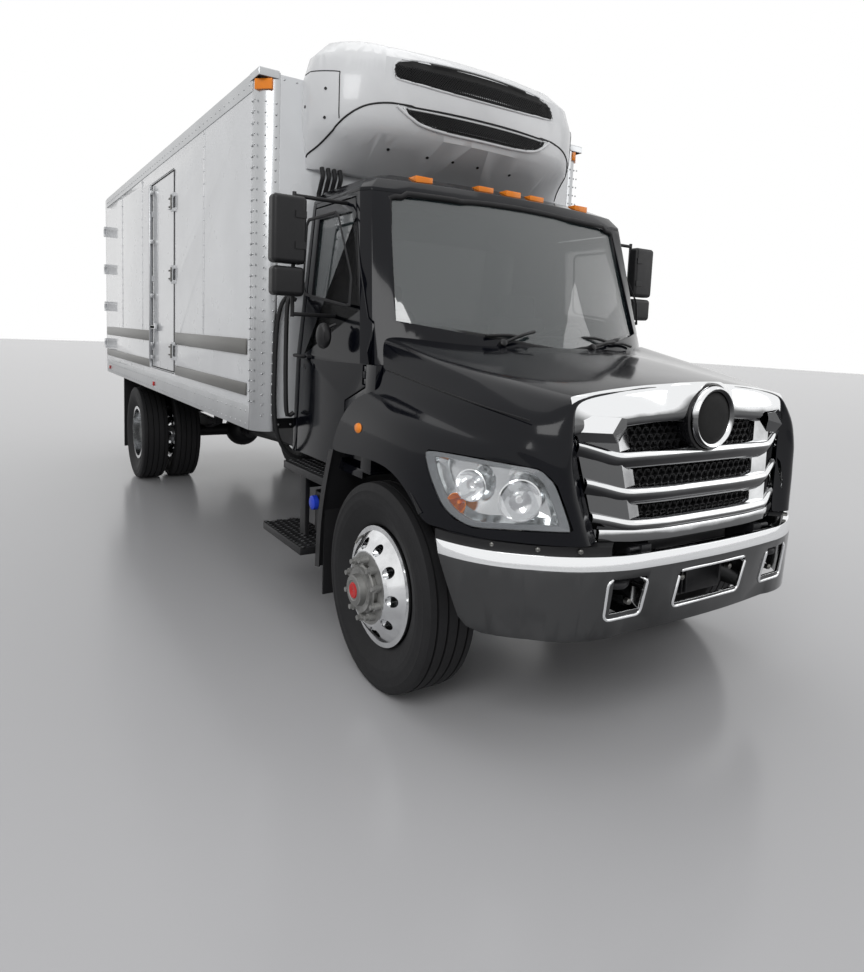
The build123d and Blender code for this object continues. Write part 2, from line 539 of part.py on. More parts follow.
    door_x = half - 100 - DOOR_GAP
    rear_top = BOX_TOP_Z - 150 - DOOR_GAP
    leaf = block(-door_x, -DOOR_GAP / 2, BOX_REAR_Y - BOX_WALL, BOX_REAR_Y, BOX_FLOOR_Z + DOOR_GAP, rear_top)
    parts = [leaf]
    for z in REAR_HINGE_LEVELS:
        parts.append(block(-half - HINGE_OUT, -door_x + 160, BOX_REAR_Y + 6, BOX_REAR_Y + 16, z - 28, z + 28))
        parts.append(block(-door_x + 30, -door_x + 160, BOX_REAR_Y, BOX_REAR_Y + 7, z - 28, z + 28))
        parts.append(rod_z(z - 28, z + 28, -half - HINGE_OUT, BOX_REAR_Y + HINGE_BACK, HINGE_EYE))
    for x in (-door_x + 380, -180):
        parts.append(rod_z(BOX_FLOOR_Z + 40, rear_top - 30, x, BOX_REAR_Y + 30, 14))
        for z in (1480, 2180, 2890):
            parts.append(block(x - 30, x + 30, BOX_REAR_Y, BOX_REAR_Y + 30, z - 30, z + 30))
    rear_door = fuse(*parts)
    for label, side in SIDES:
        save(f"rear_door_{label}", sided(rear_door, side))


def cab_form(inset, ahead=0.0):
    """Cab body with its raked bowed windshield, inset on every side, and moved ahead at the front."""
    levels = (
        # z, half width, front y at the side, front y at the centre, back y
        (COWL_Z, 1070, 270, -130, CAB_BACK_Y),
        (2540, 985, 500, 400, CAB_BACK_Y - 20),
        (2600, 930, 540, 440, CAB_BACK_Y - 50),
        (2650, 800, 640, 560, CAB_BACK_Y - 120),
    )
    faces = []
    for index, (z, half, side_y, mid_y, back_y) in enumerate(levels):
        half, back_y = half - inset, back_y - inset + ahead
        side_y, mid_y = side_y + inset - ahead, mid_y + inset - ahead
        if index == len(levels) - 1:
            z = z - inset
        corner = half - 40
        arc = ThreePointArc((-corner, side_y, z), (0, mid_y, z), (corner, side_y, z))
        rest = Polyline((corner, side_y, z), (half, side_y + 60, z), (half, back_y, z), (-half, back_y, z),
                        (-half, side_y + 60, z), (-corner, side_y, z))
        faces.append(make_face(Wire([arc, *rest.edges()])))
    upper = loft(faces, ruled=True)
    return upper


def cab_lower(inset, ahead=0.0):
    """Cab below the windshield: a flat front at the firewall, slightly wider at the sill."""
    half = 1085 - inset
    top = 1070 - inset
    foot = CAB_FLOOR_Z + inset - ahead
    outline = [(-half, foot), (half, foot), (top, COWL_Z), (-top, COWL_Z)]
    return front_prism(outline, CAB_FRONT_Y + inset - ahead, CAB_BACK_Y - inset + ahead)


def cab_hinges():
    """Right-hand door hinges: eyes on the cab, straps and knuckles on the door, and the cab's and door's notches."""
    eyes, knuckles, cab_notches, door_notches = [], [], [], []
    x, y, radius = -CAB_HINGE_X, CAB_HINGE_Y, CAB_HINGE_RADIUS
    for z, strap_end in CAB_HINGE_LEVELS:
        for low in (z - 45, z + 20):
            arm = block(x - radius, x + radius, CAB_DOOR_FRONT_Y - DOOR_GAP - 14, y, low, low + 25)
            eyes.append(fuse(arm, rod_z(low, low + 25, x, y, radius)))
        strap = block(x - radius, x + radius, y, strap_end, z - 18, z + 18)
        knuckles.append(fuse(strap, rod_z(z - 18, z + 18, x, y, radius)))
        cab_notches.append(block(x - 60, x + radius + 8, y - radius - 10, strap_end - 20, z - 52, z + 52))
        door_notches.append(block(x - 60, x + radius + 8, 0, y + radius + 8, z - 52, z + 52))
    return eyes, knuckles, cab_notches, door_notches


def build_cab():
    """Hollow cab of floor, front, back, roof and glass, with doors, mirrors, seats and dash."""
    outer = cab_form(0) + cab_lower(0)
    inner = cab_form(CAB_WALL) + cab_lower(CAB_WALL)
    core = cab_form(CAB_DOOR_THICKNESS, 400) + cab_lower(CAB_DOOR_THICKNESS, 400)
    shell = outer - inner
    gap = DOOR_GAP
    half_span = 2000
    door_side = [(CAB_DOOR_ARCH_Y, CAB_DOOR_BOTTOM_Z), (CAB_DOOR_REAR_Y, CAB_DOOR_BOTTOM_Z),
                 (CAB_DOOR_REAR_Y, CAB_DOOR_TOP_Z), (600, CAB_DOOR_TOP_Z), (350, 1840), (CAB_DOOR_FRONT_Y, 1760),
                 (CAB_DOOR_FRONT_Y, CAB_DOOR_ARCH_Z + 90), (CAB_DOOR_ARCH_Y, CAB_DOOR_ARCH_Z)]
    hole_side = [(CAB_DOOR_ARCH_Y - gap, CAB_DOOR_BOTTOM_Z - gap), (CAB_DOOR_REAR_Y + gap + 4, CAB_DOOR_BOTTOM_Z - gap),
                 (CAB_DOOR_REAR_Y + gap + 4, CAB_DOOR_TOP_Z + gap), (594, CAB_DOOR_TOP_Z + gap), (343, 1844),
                 (CAB_DOOR_FRONT_Y - gap, 1764), (CAB_DOOR_FRONT_Y - gap, CAB_DOOR_ARCH_Z + 84),
                 (CAB_DOOR_ARCH_Y - gap, CAB_DOOR_ARCH_Z - 5)]
    band = outer - core
    opening = side_prism(hole_side, -1300, -850) & band
    skin = band & side_prism(door_side, -1300, -850)
    window = side_prism([(400, 1880), (1065, 1965), (1065, 2420), (625, 2420)], -1300, -850)
    wheel_sweep = rod_z(0, TYRE_RADIUS * 2 + 10, -KINGPIN_X, 0, 325)
    eyes, knuckles, cab_notches, door_notches = cab_hinges()
    for shape in (opening, wheel_sweep, *cab_notches):
        for one in twin(shape):
            shell = shell - one
    cowl_back = CAB_DOOR_FRONT_Y - gap
    shell = shell + (cab_lower(0) & block(-half_span, half_span, 0, cowl_back, COWL_Z - COWL_GAUGE, COWL_Z))
    shell = shell + (cab_form(0) & block(-half_span, half_span, -400, CAB_FRONT_Y + CAB_WALL, COWL_Z, COWL_Z + COWL_GAUGE))
    windshield_cut = front_prism([(-905, 1830), (0, 1690), (905, 1830), (850, 2500), (0, 2540), (-850, 2500)], -400, 560)
    back_cut = block(-600, 600, CAB_BACK_Y - 160, CAB_BACK_Y + 10, 1850, 2380)
    glass_band = (cab_form(14) - cab_form(14 + GLASS_THICKNESS))
    save("windshield", glass_band & windshield_cut)
    save("rear_glass", glass_band & back_cut)
    shell = shell - windshield_cut - back_cut
    floor_cut = block(-half_span, half_span, -half_span, half_span, 0, CAB_FLOOR_Z + CAB_WALL)
    roof_cut = block(-half_span, half_span, -half_span, half_span, CAB_DOOR_TOP_Z + 30, 4000)
    back_zone = block(-half_span, half_span, CAB_DOOR_REAR_Y - 1, half_span, CAB_FLOOR_Z + CAB_WALL, CAB_DOOR_TOP_Z + 30)
    save("cab_floor", shell & floor_cut)
    save("cab_roof", shell & roof_cut)
    save("cab_back", shell & back_zone)
    front = shell - floor_cut - roof_cut - back_zone
    save("cab_front", fuse(front, *[shape for eye in eyes for shape in twin(eye)]))
    panel = fuse(skin - window, block(-1100, -1060, 960, 1080, 1590, 1615))
    inner_corner = block(-CAB_HINGE_X + 20, -900, 0, CAB_HINGE_Y + 30, COWL_Z - 20, 1850)
    for notch in (inner_corner, *door_notches):
        panel = panel - notch
    door = fuse(panel, *knuckles)
    for label, side in SIDES:
        save(f"cab_door_{label}", sided(door, side))
        save(f"door_glass_{label}", sided(glass_band & window, side))
        save(f"mirror_{label}", sided(mirror_form() - door, side))
    dash = block(-950, 950, CAB_FRONT_Y + CAB_WALL, 580, 1400, COWL_Z - COWL_GAUGE - 3)
    tilt = Plane(origin=(560, 650, 1730), x_dir=(1, 0, 0), z_dir=(0, 0.62, 0.78))
    column = tilt * Pos(0, 0, -20 - PIVOT_GAP - 120) * Cylinder(32, 240)
    save("dashboard", fuse(dash, column))
    seats = []
    for x in (-560, 560):
        seat = block(x - 250, x + 250, 640, 1080, 1330, 1450)
        back = block(x - 240, x + 240, 990, 1090, 1450, 2080)
        base = block(x - 180, x + 180, 640, 1040, CAB_FLOOR_Z + CAB_WALL, 1330)
        seats.append(fuse(seat, back, base))
    save("seats", *seats)
    ring = tilt * Torus(215, 16)
    spokes = [tilt * Box(400, 34, 16), tilt * Box(34, 400, 16)]
    wheel_hub = tilt * Cylinder(60, 40)
    save("steering_wheel", fuse(ring, *spokes, wheel_hub))


def mirror_form():
    """Right-hand mirror: two heads on a tubular bracket from the door's frame."""
    main = fillet(block(-1450, -1262, 600, 690, 2105, 2455).edges(), 25)
    lower = fillet(block(-1445, -1268, 600, 690, 1937, 2090).edges(), 25)
    stem = rod_z(1830, 2490, -1300, 700, 11)
    top_arm = rod_x(-1300, -960, 700, 2470, 11)
    low_arm = rod_x(-1300, -1020, 700, 1845, 11)
    return fuse(main, lower, stem, top_arm, low_arm)


def hood_form(inset):
    """Hood and fenders as one form: sections from the cowl to the bumper, inset but for the bottom."""
    stations = (
        # y, crown z, then x and z of shoulder, seam, ridge, valley, crest and side
        (250, 1785, 985, 1755, 1045, 1600, 1065, 1555, 1085, 1490, 1115, 1455, 1165, 1360),
        (50, 1745, 962, 1715, 1030, 1570, 1045, 1530, 1055, 1470, 1110, 1440, 1165, 1330),
        (-270, 1695, 930, 1648, 1005, 1520, 1015, 1490, 1040, 1415, 1095, 1395, 1150, 1300),
        (-550, 1648, 865, 1597, 970, 1475, 975, 1440, 1005, 1372, 1045, 1352, 1088, 1290),
        (-750, 1612, 800, 1560, 925, 1445, 930, 1400, 962, 1350, 975, 1317, 1000, 1280),
        (-900, 1585, 748, 1538, 850, 1425, 855, 1340, 868, 1310, 872, 1285, 880, 1265),
        (-1012, 1012, 700, 1008, 712, 1003, 718, 996, 725, 988, 730, 978, 736, 966),
    )
    faces = []
    for index, (y, crown, *flat) in enumerate(stations):
        if index == len(stations) - 1:
            y = y + inset
        points = [(x - inset, z - inset) for x, z in zip(flat[0::2], flat[1::2])]
        points.append((points[-1][0], HOOD_BOTTOM_Z))
        near = [(-x, y, z) for x, z in points]
        far = [(x, y, z) for x, z in reversed(points)]
        top = ThreePointArc(far[-1], (0, y, crown - inset), near[0])
        rest = Polyline(*near, *far)
        faces.append(make_face(Wire([top, *rest.edges()])))
    return loft(faces, ruled=True)


def build_hood():
    """Tilting hood shell, grille, lamps and their openings."""
    far = 2000
    arch = side_prism([(520, 900), (460, 1120), (430, 1138), (60, 1155), (-183, 1145), (-285, 1099), (-400, 1010),
                       (-460, 900)], -1300, -640)
    shell = hood_form(0) - hood_form(HOOD_WALL)
    shell = shell - block(-far, far, -far, far, 0, HOOD_BOTTOM_Z + 1)
    shell = shell - cab_form(-HOOD_CAB_GAP) - cab_lower(-HOOD_CAB_GAP)
    shell = shell - block(-far, far, HOOD_REAR_Y, far, 0, 3000)
    flange = side_prism([(HOOD_REAR_Y - 40, 1395), (285, 1395), (374, 1280), (443, 1137), (HOOD_REAR_Y - 40, 1137)],
                        -1165, -1165 + HOOD_WALL)
    shell = fuse(shell, *twin(flange))
    for shape in twin(arch):
        shell = shell - shape
    shell = shell - block(-640, 640, -1200, -860, 975, 1470)
    arms = twin(block(-RAIL_OUTER_X - 52, -RAIL_OUTER_X - 8, HOOD_HINGE_Y - 18, -960, HOOD_HINGE_Z - 18, HOOD_BOTTOM_Z + 10))
    pins = twin(rod_x(-RAIL_OUTER_X - 100, -RAIL_OUTER_X, HOOD_HINGE_Y, HOOD_HINGE_Z, HOOD_PIN_RADIUS + PIVOT_GAP))
    shell = fuse(shell, *arms) - pins[0] - pins[1]
    bars = []
    for z, half, y in ((1500, 735, -915), (1345, 700, -950), (1190, 690, -975), (1053, 670, -1000), (980, 650, -1015)):
        bars.append(block(-half, half, y - 30, y + 10, z - 22, z + 22))
    uprights = twin(side_prism([(-1043, 960), (-935, 1530), (-895, 1530), (-1003, 960)], -740, -650))
    badge = Pos(0, -985, 1450) * Rot(90, 0, 0) * Cylinder(150, 60)
    grille = fuse(*bars, *uprights, badge)
    save("grille", grille)
    outline = side_prism([(-421, 1242), (-440, 1270), (-800, 1264), (-880, 1252), (-945, 1190), (-985, 1020), (-970, 1004),
                          (-800, 993), (-670, 981), (-590, 1002), (-524, 1046), (-473, 1124), (-442, 1184)], -1300, -760)
    lamps = twin((hood_form(0) - hood_form(LAMP_DEPTH)) & outline)
    save("headlamps", *lamps)
    for shape in twin(outline):
        shell = shell - shape
    shell = shell - grille
    save("hood_shell", *[solid for solid in shell.solids() if solid.volume > 1e6])


def unit_form():
    """Refrigeration unit's housing: bowed sections from its belly to its top."""
    wall_y = BOX_FRONT_Y
    nose_y = wall_y - UNIT_DEPTH
    levels = (
        # z, half width, front y
        (UNIT_BOTTOM_Z, 1000, wall_y - 90),
        (2960, 1025, nose_y + 50),
        (3040, UNIT_HALF_WIDTH, nose_y + 10),
        (3250, UNIT_HALF_WIDTH, nose_y),
        (3400, 990, nose_y + 50),
        (3500, 890, nose_y + 180),
        (UNIT_TOP_Z, 720, nose_y + 330),
    )
    faces = []
    for z, half, front in levels:
        depth = wall_y - front
        side = (half, wall_y - 0.18 * depth, z)
        bend = (0.9 * half, front + 0.45 * depth, z)
        cheek = (0.66 * half, front + 0.2 * depth, z)
        corner = (half, wall_y, z)
        other = [(-x, y, level) for x, y, level in (cheek, bend, side, corner)]
        edges = [Line(corner, side), ThreePointArc(side, bend, cheek), ThreePointArc(cheek, (0, front, z), other[0]),
                 ThreePointArc(*other[:3]), Line(other[2], other[3]), Line(other[3], corner)]
        faces.append(make_face(Wire(edges)))
    return loft(faces, ruled=True)


def build_unit():
    """Refrigeration unit on the body's front wall, with its two air vents and its hoses."""
    housing = unit_form()
    upper = front_prism([(-610, 3290), (-560, 3395), (560, 3395), (610, 3290), (560, 3262), (-560, 3262)], 700, 1000)
    lower = front_prism([(-560, 3120), (560, 3120), (420, 3030), (-420, 3030)], 700, 1000)
    vents = []
    for shape in (upper, lower):
        vents.append((housing - Pos(0, VENT_DEPTH, 0) * housing) & shape)
    save("unit_vents", *vents)
    save("refrigeration_unit", housing - vents[0] - vents[1])
    runs = []
    for x in (-930, -890, -850, -810):
        path = FilletPolyline((x, 1200, 2755), (x, 1180, 2700), (x, 1240, 2600), (x, 1240, 1300), radius=30)
        section = Plane(origin=path @ 0, z_dir=path % 0) * Circle(14)
        runs.append(sweep(section, path))
    save("unit_hoses", *runs)


def build_lamps():
    """Amber lamps on the cab's roof and the body's corner caps, and the tail lamps."""
    lamps = []
    roof = cab_form(0)
    for x in (-605, -197, 0, 197, 605):
        y = 470 + abs(x) * 0.08
        lamps.append(block(x - 55, x + 55, y, y + 90, 2600, 2645) - roof)
    post = Pos(-BOX_HALF_WIDTH + CORNER_RADIUS, BOX_FRONT_Y + CORNER_RADIUS, BOX_TOP_Z - CAP_HEIGHT / 2)
    corner = post * Rot(0, 0, 225) * Pos(CORNER_RADIUS, 0, 0) * Box(2 * MARKER_LAMP_DEPTH, 110, 60)
    lamps += twin(corner - post * Cylinder(CORNER_RADIUS, 400))
    save("marker_lamps", *[max(lamp.solids(), key=lambda solid: solid.volume) for lamp in lamps])
    tails = []
    for x, z, radius in ((1050, 1223, TAIL_LAMP_RADIUS), (900, 1223, TAIL_LAMP_RADIUS), (160, 3215, HEADER_LAMP_RADIUS)):
        tails += twin(rod_y(BOX_REAR_Y, BOX_REAR_Y + TAIL_LAMP_DEPTH, x, z, radius))
    tails.append(rod_y(BOX_REAR_Y, BOX_REAR_Y + TAIL_LAMP_DEPTH, 0, 3215, HEADER_LAMP_RADIUS))
    save("tail_lamps", *tails)


os.makedirs("parts", exist_ok=True)
build_wheels()
build_steering()
build_chassis()
build_box()
build_cab()
build_hood()
build_unit()
build_lamps()
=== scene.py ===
"""Looks of a bonneted refrigerated box truck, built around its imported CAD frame.

Metres, +Z up. The nose points to -Y and the driver's side is +X, as in the frame.
"""
import logging
import math
from dataclasses import dataclass
from enum import Enum
from typing import Iterable, Sequence

import bmesh
import bpy
from mathutils import Matrix, Vector
from mathutils.bvhtree import BVHTree


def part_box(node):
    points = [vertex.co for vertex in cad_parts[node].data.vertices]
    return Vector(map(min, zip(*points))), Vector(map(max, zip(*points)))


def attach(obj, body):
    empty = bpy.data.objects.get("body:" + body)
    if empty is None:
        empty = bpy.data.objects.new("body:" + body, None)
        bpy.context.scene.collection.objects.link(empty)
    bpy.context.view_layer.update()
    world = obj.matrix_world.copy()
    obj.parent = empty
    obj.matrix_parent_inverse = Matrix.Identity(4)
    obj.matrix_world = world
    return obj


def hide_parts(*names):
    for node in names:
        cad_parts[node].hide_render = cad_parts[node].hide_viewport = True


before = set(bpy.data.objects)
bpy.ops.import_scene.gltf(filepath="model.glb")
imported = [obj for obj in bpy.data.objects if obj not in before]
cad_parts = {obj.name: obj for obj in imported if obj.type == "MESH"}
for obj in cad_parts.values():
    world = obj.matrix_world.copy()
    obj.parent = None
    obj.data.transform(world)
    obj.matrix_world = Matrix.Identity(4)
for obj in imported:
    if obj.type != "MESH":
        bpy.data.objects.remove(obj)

LOG = logging.getLogger("truck")
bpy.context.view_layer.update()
CURVE_STEPS = 12    # steps between two given points, before a curve is spaced evenly
TINY = 1e-9         # keeps a division away from zero
AXIS_GAP = 1e-6     # nearer to the middle plane or an axis, a point lies on it
WELD_GAP = 1e-5     # nearer to each other, two points are one
Colour = tuple[float, float, float]
Point = tuple[float, float, float]


def middle(node: str) -> Vector:
    """Centre of a CAD node's box at rest."""
    low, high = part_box(node)
    return (low + high) / 2


AXLE_Y = middle("front_wheel_right").y
REAR_AXLE_Y = middle("rear_wheels_right").y
AXLE_Z = middle("front_wheel_right").z


def at(x: float, y: float, z: float) -> Vector:
    """Point whose y is counted from the front axle, as the part's sizes are."""
    return Vector((x, y + AXLE_Y, z))


class Sig:
    """A shader socket with arithmetic, so that an expression adds its Math nodes."""

    def __init__(self, tree: bpy.types.NodeTree, socket: bpy.types.NodeSocket) -> None:
        """Wraps an output socket of the tree."""
        self.tree = tree
        self.socket = socket

    def _maths(self, operation: str, first: "Sig | float", second: "Sig | float | None" = None) -> "Sig":
        """Adds one Math node.

        Args:
            operation: the node's operation.
            first: its first value or link.
            second: its second value or link, where it has one.

        Returns:
            The node's result.
        """
        node = self.tree.nodes.new("ShaderNodeMath")
        node.operation = operation
        for index, value in enumerate((first, second)):
            if isinstance(value, Sig):
                self.tree.links.new(value.socket, node.inputs[index])
            elif value is not None:
                node.inputs[index].default_value = value
        return Sig(self.tree, node.outputs[0])

    def __add__(self, other: "Sig | float") -> "Sig":
        """Sum."""
        return self._maths("ADD", self, other)

    __radd__ = __add__

    def __sub__(self, other: "Sig | float") -> "Sig":
        """Difference."""
        return self._maths("SUBTRACT", self, other)

    def __rsub__(self, other: float) -> "Sig":
        """Reflected difference."""
        return self._maths("SUBTRACT", other, self)

    def __mul__(self, other: "Sig | float") -> "Sig":
        """Product."""
        return self._maths("MULTIPLY", self, other)

    __rmul__ = __mul__

    def above(self, level: float) -> "Sig":
        """1 where the value is over the level, else 0."""
        return self._maths("GREATER_THAN", self, level)

    def either(self, other: "Sig") -> "Sig":
        """The greater of two values."""
        return self._maths("MAXIMUM", self, other)


class Nodes:
    """A node tree that takes each new node with its settings and inputs in one call."""

    def __init__(self, tree: bpy.types.NodeTree) -> None:
        """Wraps a material's or the world's tree."""
        self.tree = tree

    def node(self, kind: str, settings: dict | None = None, **inputs: object) -> bpy.types.Node:
        """Adds a node.

        Args:
            kind: the node's type, without its ShaderNode prefix.
            settings: attributes set first; "stops" sets a ramp's (position, colour) pairs.
            inputs: values or links for its sockets, by a name with _ for a space, or by i and an index.

        Returns:
            The new node.
        """
        node = self.tree.nodes.new("ShaderNode" + kind)
        for key, value in (settings or {}).items():
            if key == "stops":
                ramp = node.color_ramp
                while len(ramp.elements) < len(value):
                    ramp.elements.new(0.5)
                for element, (position, colour) in zip(ramp.elements, value):
                    element.position = position
                    element.color = (*colour, 1.0)
            else:
                setattr(node, key, value)
        for key, value in inputs.items():
            numbered = key[0] == "i" and key[1:].isdigit()
            self.feed(node.inputs[int(key[1:]) if numbered else key.replace("_", " ")], value)
        return node

    def feed(self, socket: bpy.types.NodeSocket, value: object) -> None:
        """Links or sets one socket.

        Args:
            socket: the input socket.
            value: a link's source or a plain value, and for a colour also its three parts.
        """
        if isinstance(value, Sig):
            self.tree.links.new(value.socket, socket)
        elif isinstance(value, bpy.types.NodeSocket):
            self.tree.links.new(value, socket)
        elif isinstance(value, tuple) and socket.type == "RGBA" and len(value) == 3:
            socket.default_value = (*value, 1.0)
        else:
            socket.default_value = value


class Shading(Nodes):
    """One material's node tree around a Principled shader."""

    def __init__(self, name: str) -> None:
        """Starts a material with one Principled shader.

        Args:
            name: the material's name.
        """
        self.material = bpy.data.materials.new(name)
        self.material.use_nodes = True
        super().__init__(self.material.node_tree)
        self.shader = self.tree.nodes["Principled BSDF"]

    def set(self, **inputs: object) -> None:
        """Sets or links sockets of the Principled shader, with _ for a space in a name."""
        for key, value in inputs.items():
            self.feed(self.shader.inputs[key.replace("_", " ")], value)

    def place(self, scale: Point = (1, 1, 1)) -> bpy.types.NodeSocket:
        """Object coordinates, scaled."""
        coords = self.node("TexCoord").outputs["Object"]
        return self.node("Mapping", Vector=coords, Scale=scale).outputs[0]

    def noise(self, scale: float, detail: float = 3.0, stretch: Point = (1, 1, 1), rough: float = 0.5) -> Sig:
        """Noise over the object, from 0 to 1."""
        node = self.node("TexNoise", Vector=self.place(stretch), Scale=scale, Detail=detail, Roughness=rough)
        return Sig(self.tree, node.outputs[0])

    def ramp(self, value: Sig, *stops: tuple[float, Colour]) -> bpy.types.NodeSocket:
        """Colour from a value."""
        return self.node("ValToRGB", {"stops": stops}, Fac=value).outputs[0]

    def grade(self, value: Sig, low: float, high: float) -> Sig:
        """Value stretched from 0..1 to low..high."""
        return value * (high - low) + low

    def axis(self, index: int) -> Sig:
        """One object coordinate in metres, 0 for x, 1 for y and 2 for z."""
        split = self.node("SeparateXYZ", Vector=self.place())
        return Sig(self.tree, split.outputs[index])

    def bump(self, height: Sig, strength: float, distance: float) -> None:
        """Feeds a height into the shader's normal through one Bump node."""
        node = self.node("Bump", Height=height, Strength=strength, Distance=distance)
        self.feed(self.shader.inputs["Normal"], node.outputs[0])


@dataclass(frozen=True)
class Paint:
    """Sprayed paint with a clear coat and faint orange peel, or the slow waves of a sheet panel."""

    colour: Colour
    roughness: float = 0.35
    coat: float = 1.0
    coat_roughness: float = 0.03
    peel: float = 0.02
    wave: float = 0.0
    shine: float = 0.5

    def build(self, name: str) -> bpy.types.Material:
        """Makes the material.

        Args:
            name: its name.

        Returns:
            The material.
        """
        s = Shading(name)
        tone = s.noise(2.5, 4.0)
        dim = tuple(c * 0.9 for c in self.colour)
        s.set(Base_Color=s.ramp(tone, (0.3, dim), (0.7, self.colour)))
        s.set(Roughness=s.grade(s.noise(9.0, 5.0), self.roughness - 0.04, self.roughness + 0.06))
        s.set(Coat_Weight=self.coat, Coat_Roughness=self.coat_roughness, Specular_IOR_Level=self.shine)
        if self.wave:
            s.bump(s.noise(1.6, 0.0, (1.0, 1.0, 0.4)), self.wave, 0.02)
        else:
            s.bump(s.noise(180.0, 2.0), self.peel, 0.001)
        return s.material


@dataclass(frozen=True)
class Metal:
    """Bare, polished or plated metal with a drawn grain."""

    colour: Colour
    roughness: float = 0.2
    spread: float = 0.08
    grain: float = 0.0
    stretch: Point = (1, 1, 1)

    def build(self, name: str) -> bpy.types.Material:
        """Makes the material.

        Args:
            name: its name.

        Returns:
            The material.
        """
        s = Shading(name)
        grain = s.noise(60.0, 4.0, self.stretch)
        cloud = s.noise(3.0, 3.0)
        dim = tuple(c * 0.88 for c in self.colour)
        s.set(Base_Color=s.ramp(cloud, (0.3, dim), (0.7, self.colour)), Metallic=1.0)
        s.set(Roughness=(grain * 0.5 + cloud * 0.5) * self.spread + (self.roughness - self.spread * 0.5))
        if self.grain:
            s.bump(grain, self.grain, 0.0006)
        return s.material


@dataclass(frozen=True)
class Plated:
    """Chrome plate with a painted reflection, its colour bright where it faces up, dark where it faces down and
    grey in between.
    """

    colour: Colour
    roughness: float = 0.05
    # Painted reflection: under is the painted shade of undersides and level the grey share of upright faces.
    under: float = 0.04
    level: float = 0.30
    # Height above which a painted highlight brightens the plate, 0 for none.
    painted_highlight_above: float = 0.0

    def build(self, name: str) -> bpy.types.Material:
        """Makes the material.

        Args:
            name: its name.

        Returns:
            The material.
        """
        s = Shading(name)
        # Painted reflection: the base colour follows how far the surface faces up, with a little noise.
        split = s.node("SeparateXYZ", Vector=s.node("TexCoord").outputs["Normal"])
        facing = Sig(s.tree, split.outputs[2]) + (s.noise(5.0, 4.0) - 0.5) * 0.25
        # Painted highlight: faces above the given height are made brighter.
        if self.painted_highlight_above:
            facing = facing + s.axis(2).above(self.painted_highlight_above) * 0.35
        # Painted shade for undersides, painted grey reflection for upright faces, the plate's own colour for
        # tops.
        dark = (self.under, self.under, self.under * 1.05)
        flat = tuple(self.level * c for c in self.colour)
        s.set(Base_Color=s.ramp(facing * 0.5 + 0.5, (0.30, dark), (0.46, flat), (0.54, flat),
                                (0.60, self.colour)))
        s.set(Metallic=1.0, Roughness=s.grade(s.noise(3.0, 3.0), self.roughness, self.roughness + 0.06))
        return s.material


@dataclass(frozen=True)
class DiscWheel:
    """Polished disc wheel whose hub and studs are cast grey."""

    polished: Colour
    cast: Colour
    hub_radius: float = 0.176

    def build(self, name: str) -> bpy.types.Material:
        """Makes the material.

        Args:
            name: its name.

        Returns:
            The material.
        """
        s = Shading(name)
        y, z = s.axis(1), s.axis(2) - AXLE_Z
        y = y - (y.above((AXLE_Y + REAR_AXLE_Y) / 2) * (REAR_AXLE_Y - AXLE_Y) + AXLE_Y)
        radius2 = y * y + z * z
        hub = 1 - radius2.above(self.hub_radius ** 2)
        grain = s.noise(14.0, 5.0)
        bright = s.ramp(grain, (0.35, tuple(c * 0.8 for c in self.polished)), (0.65, self.polished))
        dull = s.ramp(grain, (0.35, tuple(c * 0.6 for c in self.cast)), (0.65, self.cast))
        blend = s.node("Mix", {"data_type": "RGBA"}, i0=hub, i6=bright, i7=dull)
        s.set(Base_Color=blend.outputs[2], Metallic=1 - hub * 0.55, Roughness=hub * 0.38 + 0.14)
        s.bump(s.noise(70.0, 3.0) * hub, 0.5, 0.001)
        return s.material


@dataclass(frozen=True)
class Plastic:
    """Moulded plastic or rubber with a fine texture."""

    colour: Colour
    roughness: float = 0.5
    texture: float = 0.12
    size: float = 400.0
    fade: float = 1.25
    shine: float = 0.3

    def build(self, name: str) -> bpy.types.Material:
        """Makes the material.

        Args:
            name: its name.

        Returns:
            The material.
        """
        s = Shading(name)
        cloud = s.noise(6.0, 4.0)
        pale = tuple(min(1.0, c * self.fade) for c in self.colour)
        s.set(Base_Color=s.ramp(cloud, (0.35, self.colour), (0.75, pale)))
        s.set(Roughness=s.grade(s.noise(25.0, 4.0), self.roughness - 0.06, self.roughness + 0.08))
        s.set(Specular_IOR_Level=self.shine)
        s.bump(s.noise(self.size, 2.0), self.texture, 0.0006)
        return s.material


@dataclass(frozen=True)
class Glass:
    """Clear or tinted glass."""

    tint: Colour = (0.82, 0.9, 0.88)
    roughness: float = 0.0
    ior: float = 1.45
    clear: float = 0.5

    def build(self, name: str) -> bpy.types.Material:
        """Makes the material.

        Args:
            name: its name.

        Returns:
            The material.
        """
        s = Shading(name)
        smear = s.noise(3.0, 5.0)
        s.set(Base_Color=self.tint, Roughness=s.grade(smear, self.roughness, self.roughness + 0.015))
        s.set(IOR=self.ior, Alpha=self.clear, Specular_IOR_Level=0.8, Coat_Weight=1.0, Coat_IOR=1.6,
              Coat_Roughness=0.0)
        s.material.surface_render_method = "BLENDED"
        return s.material


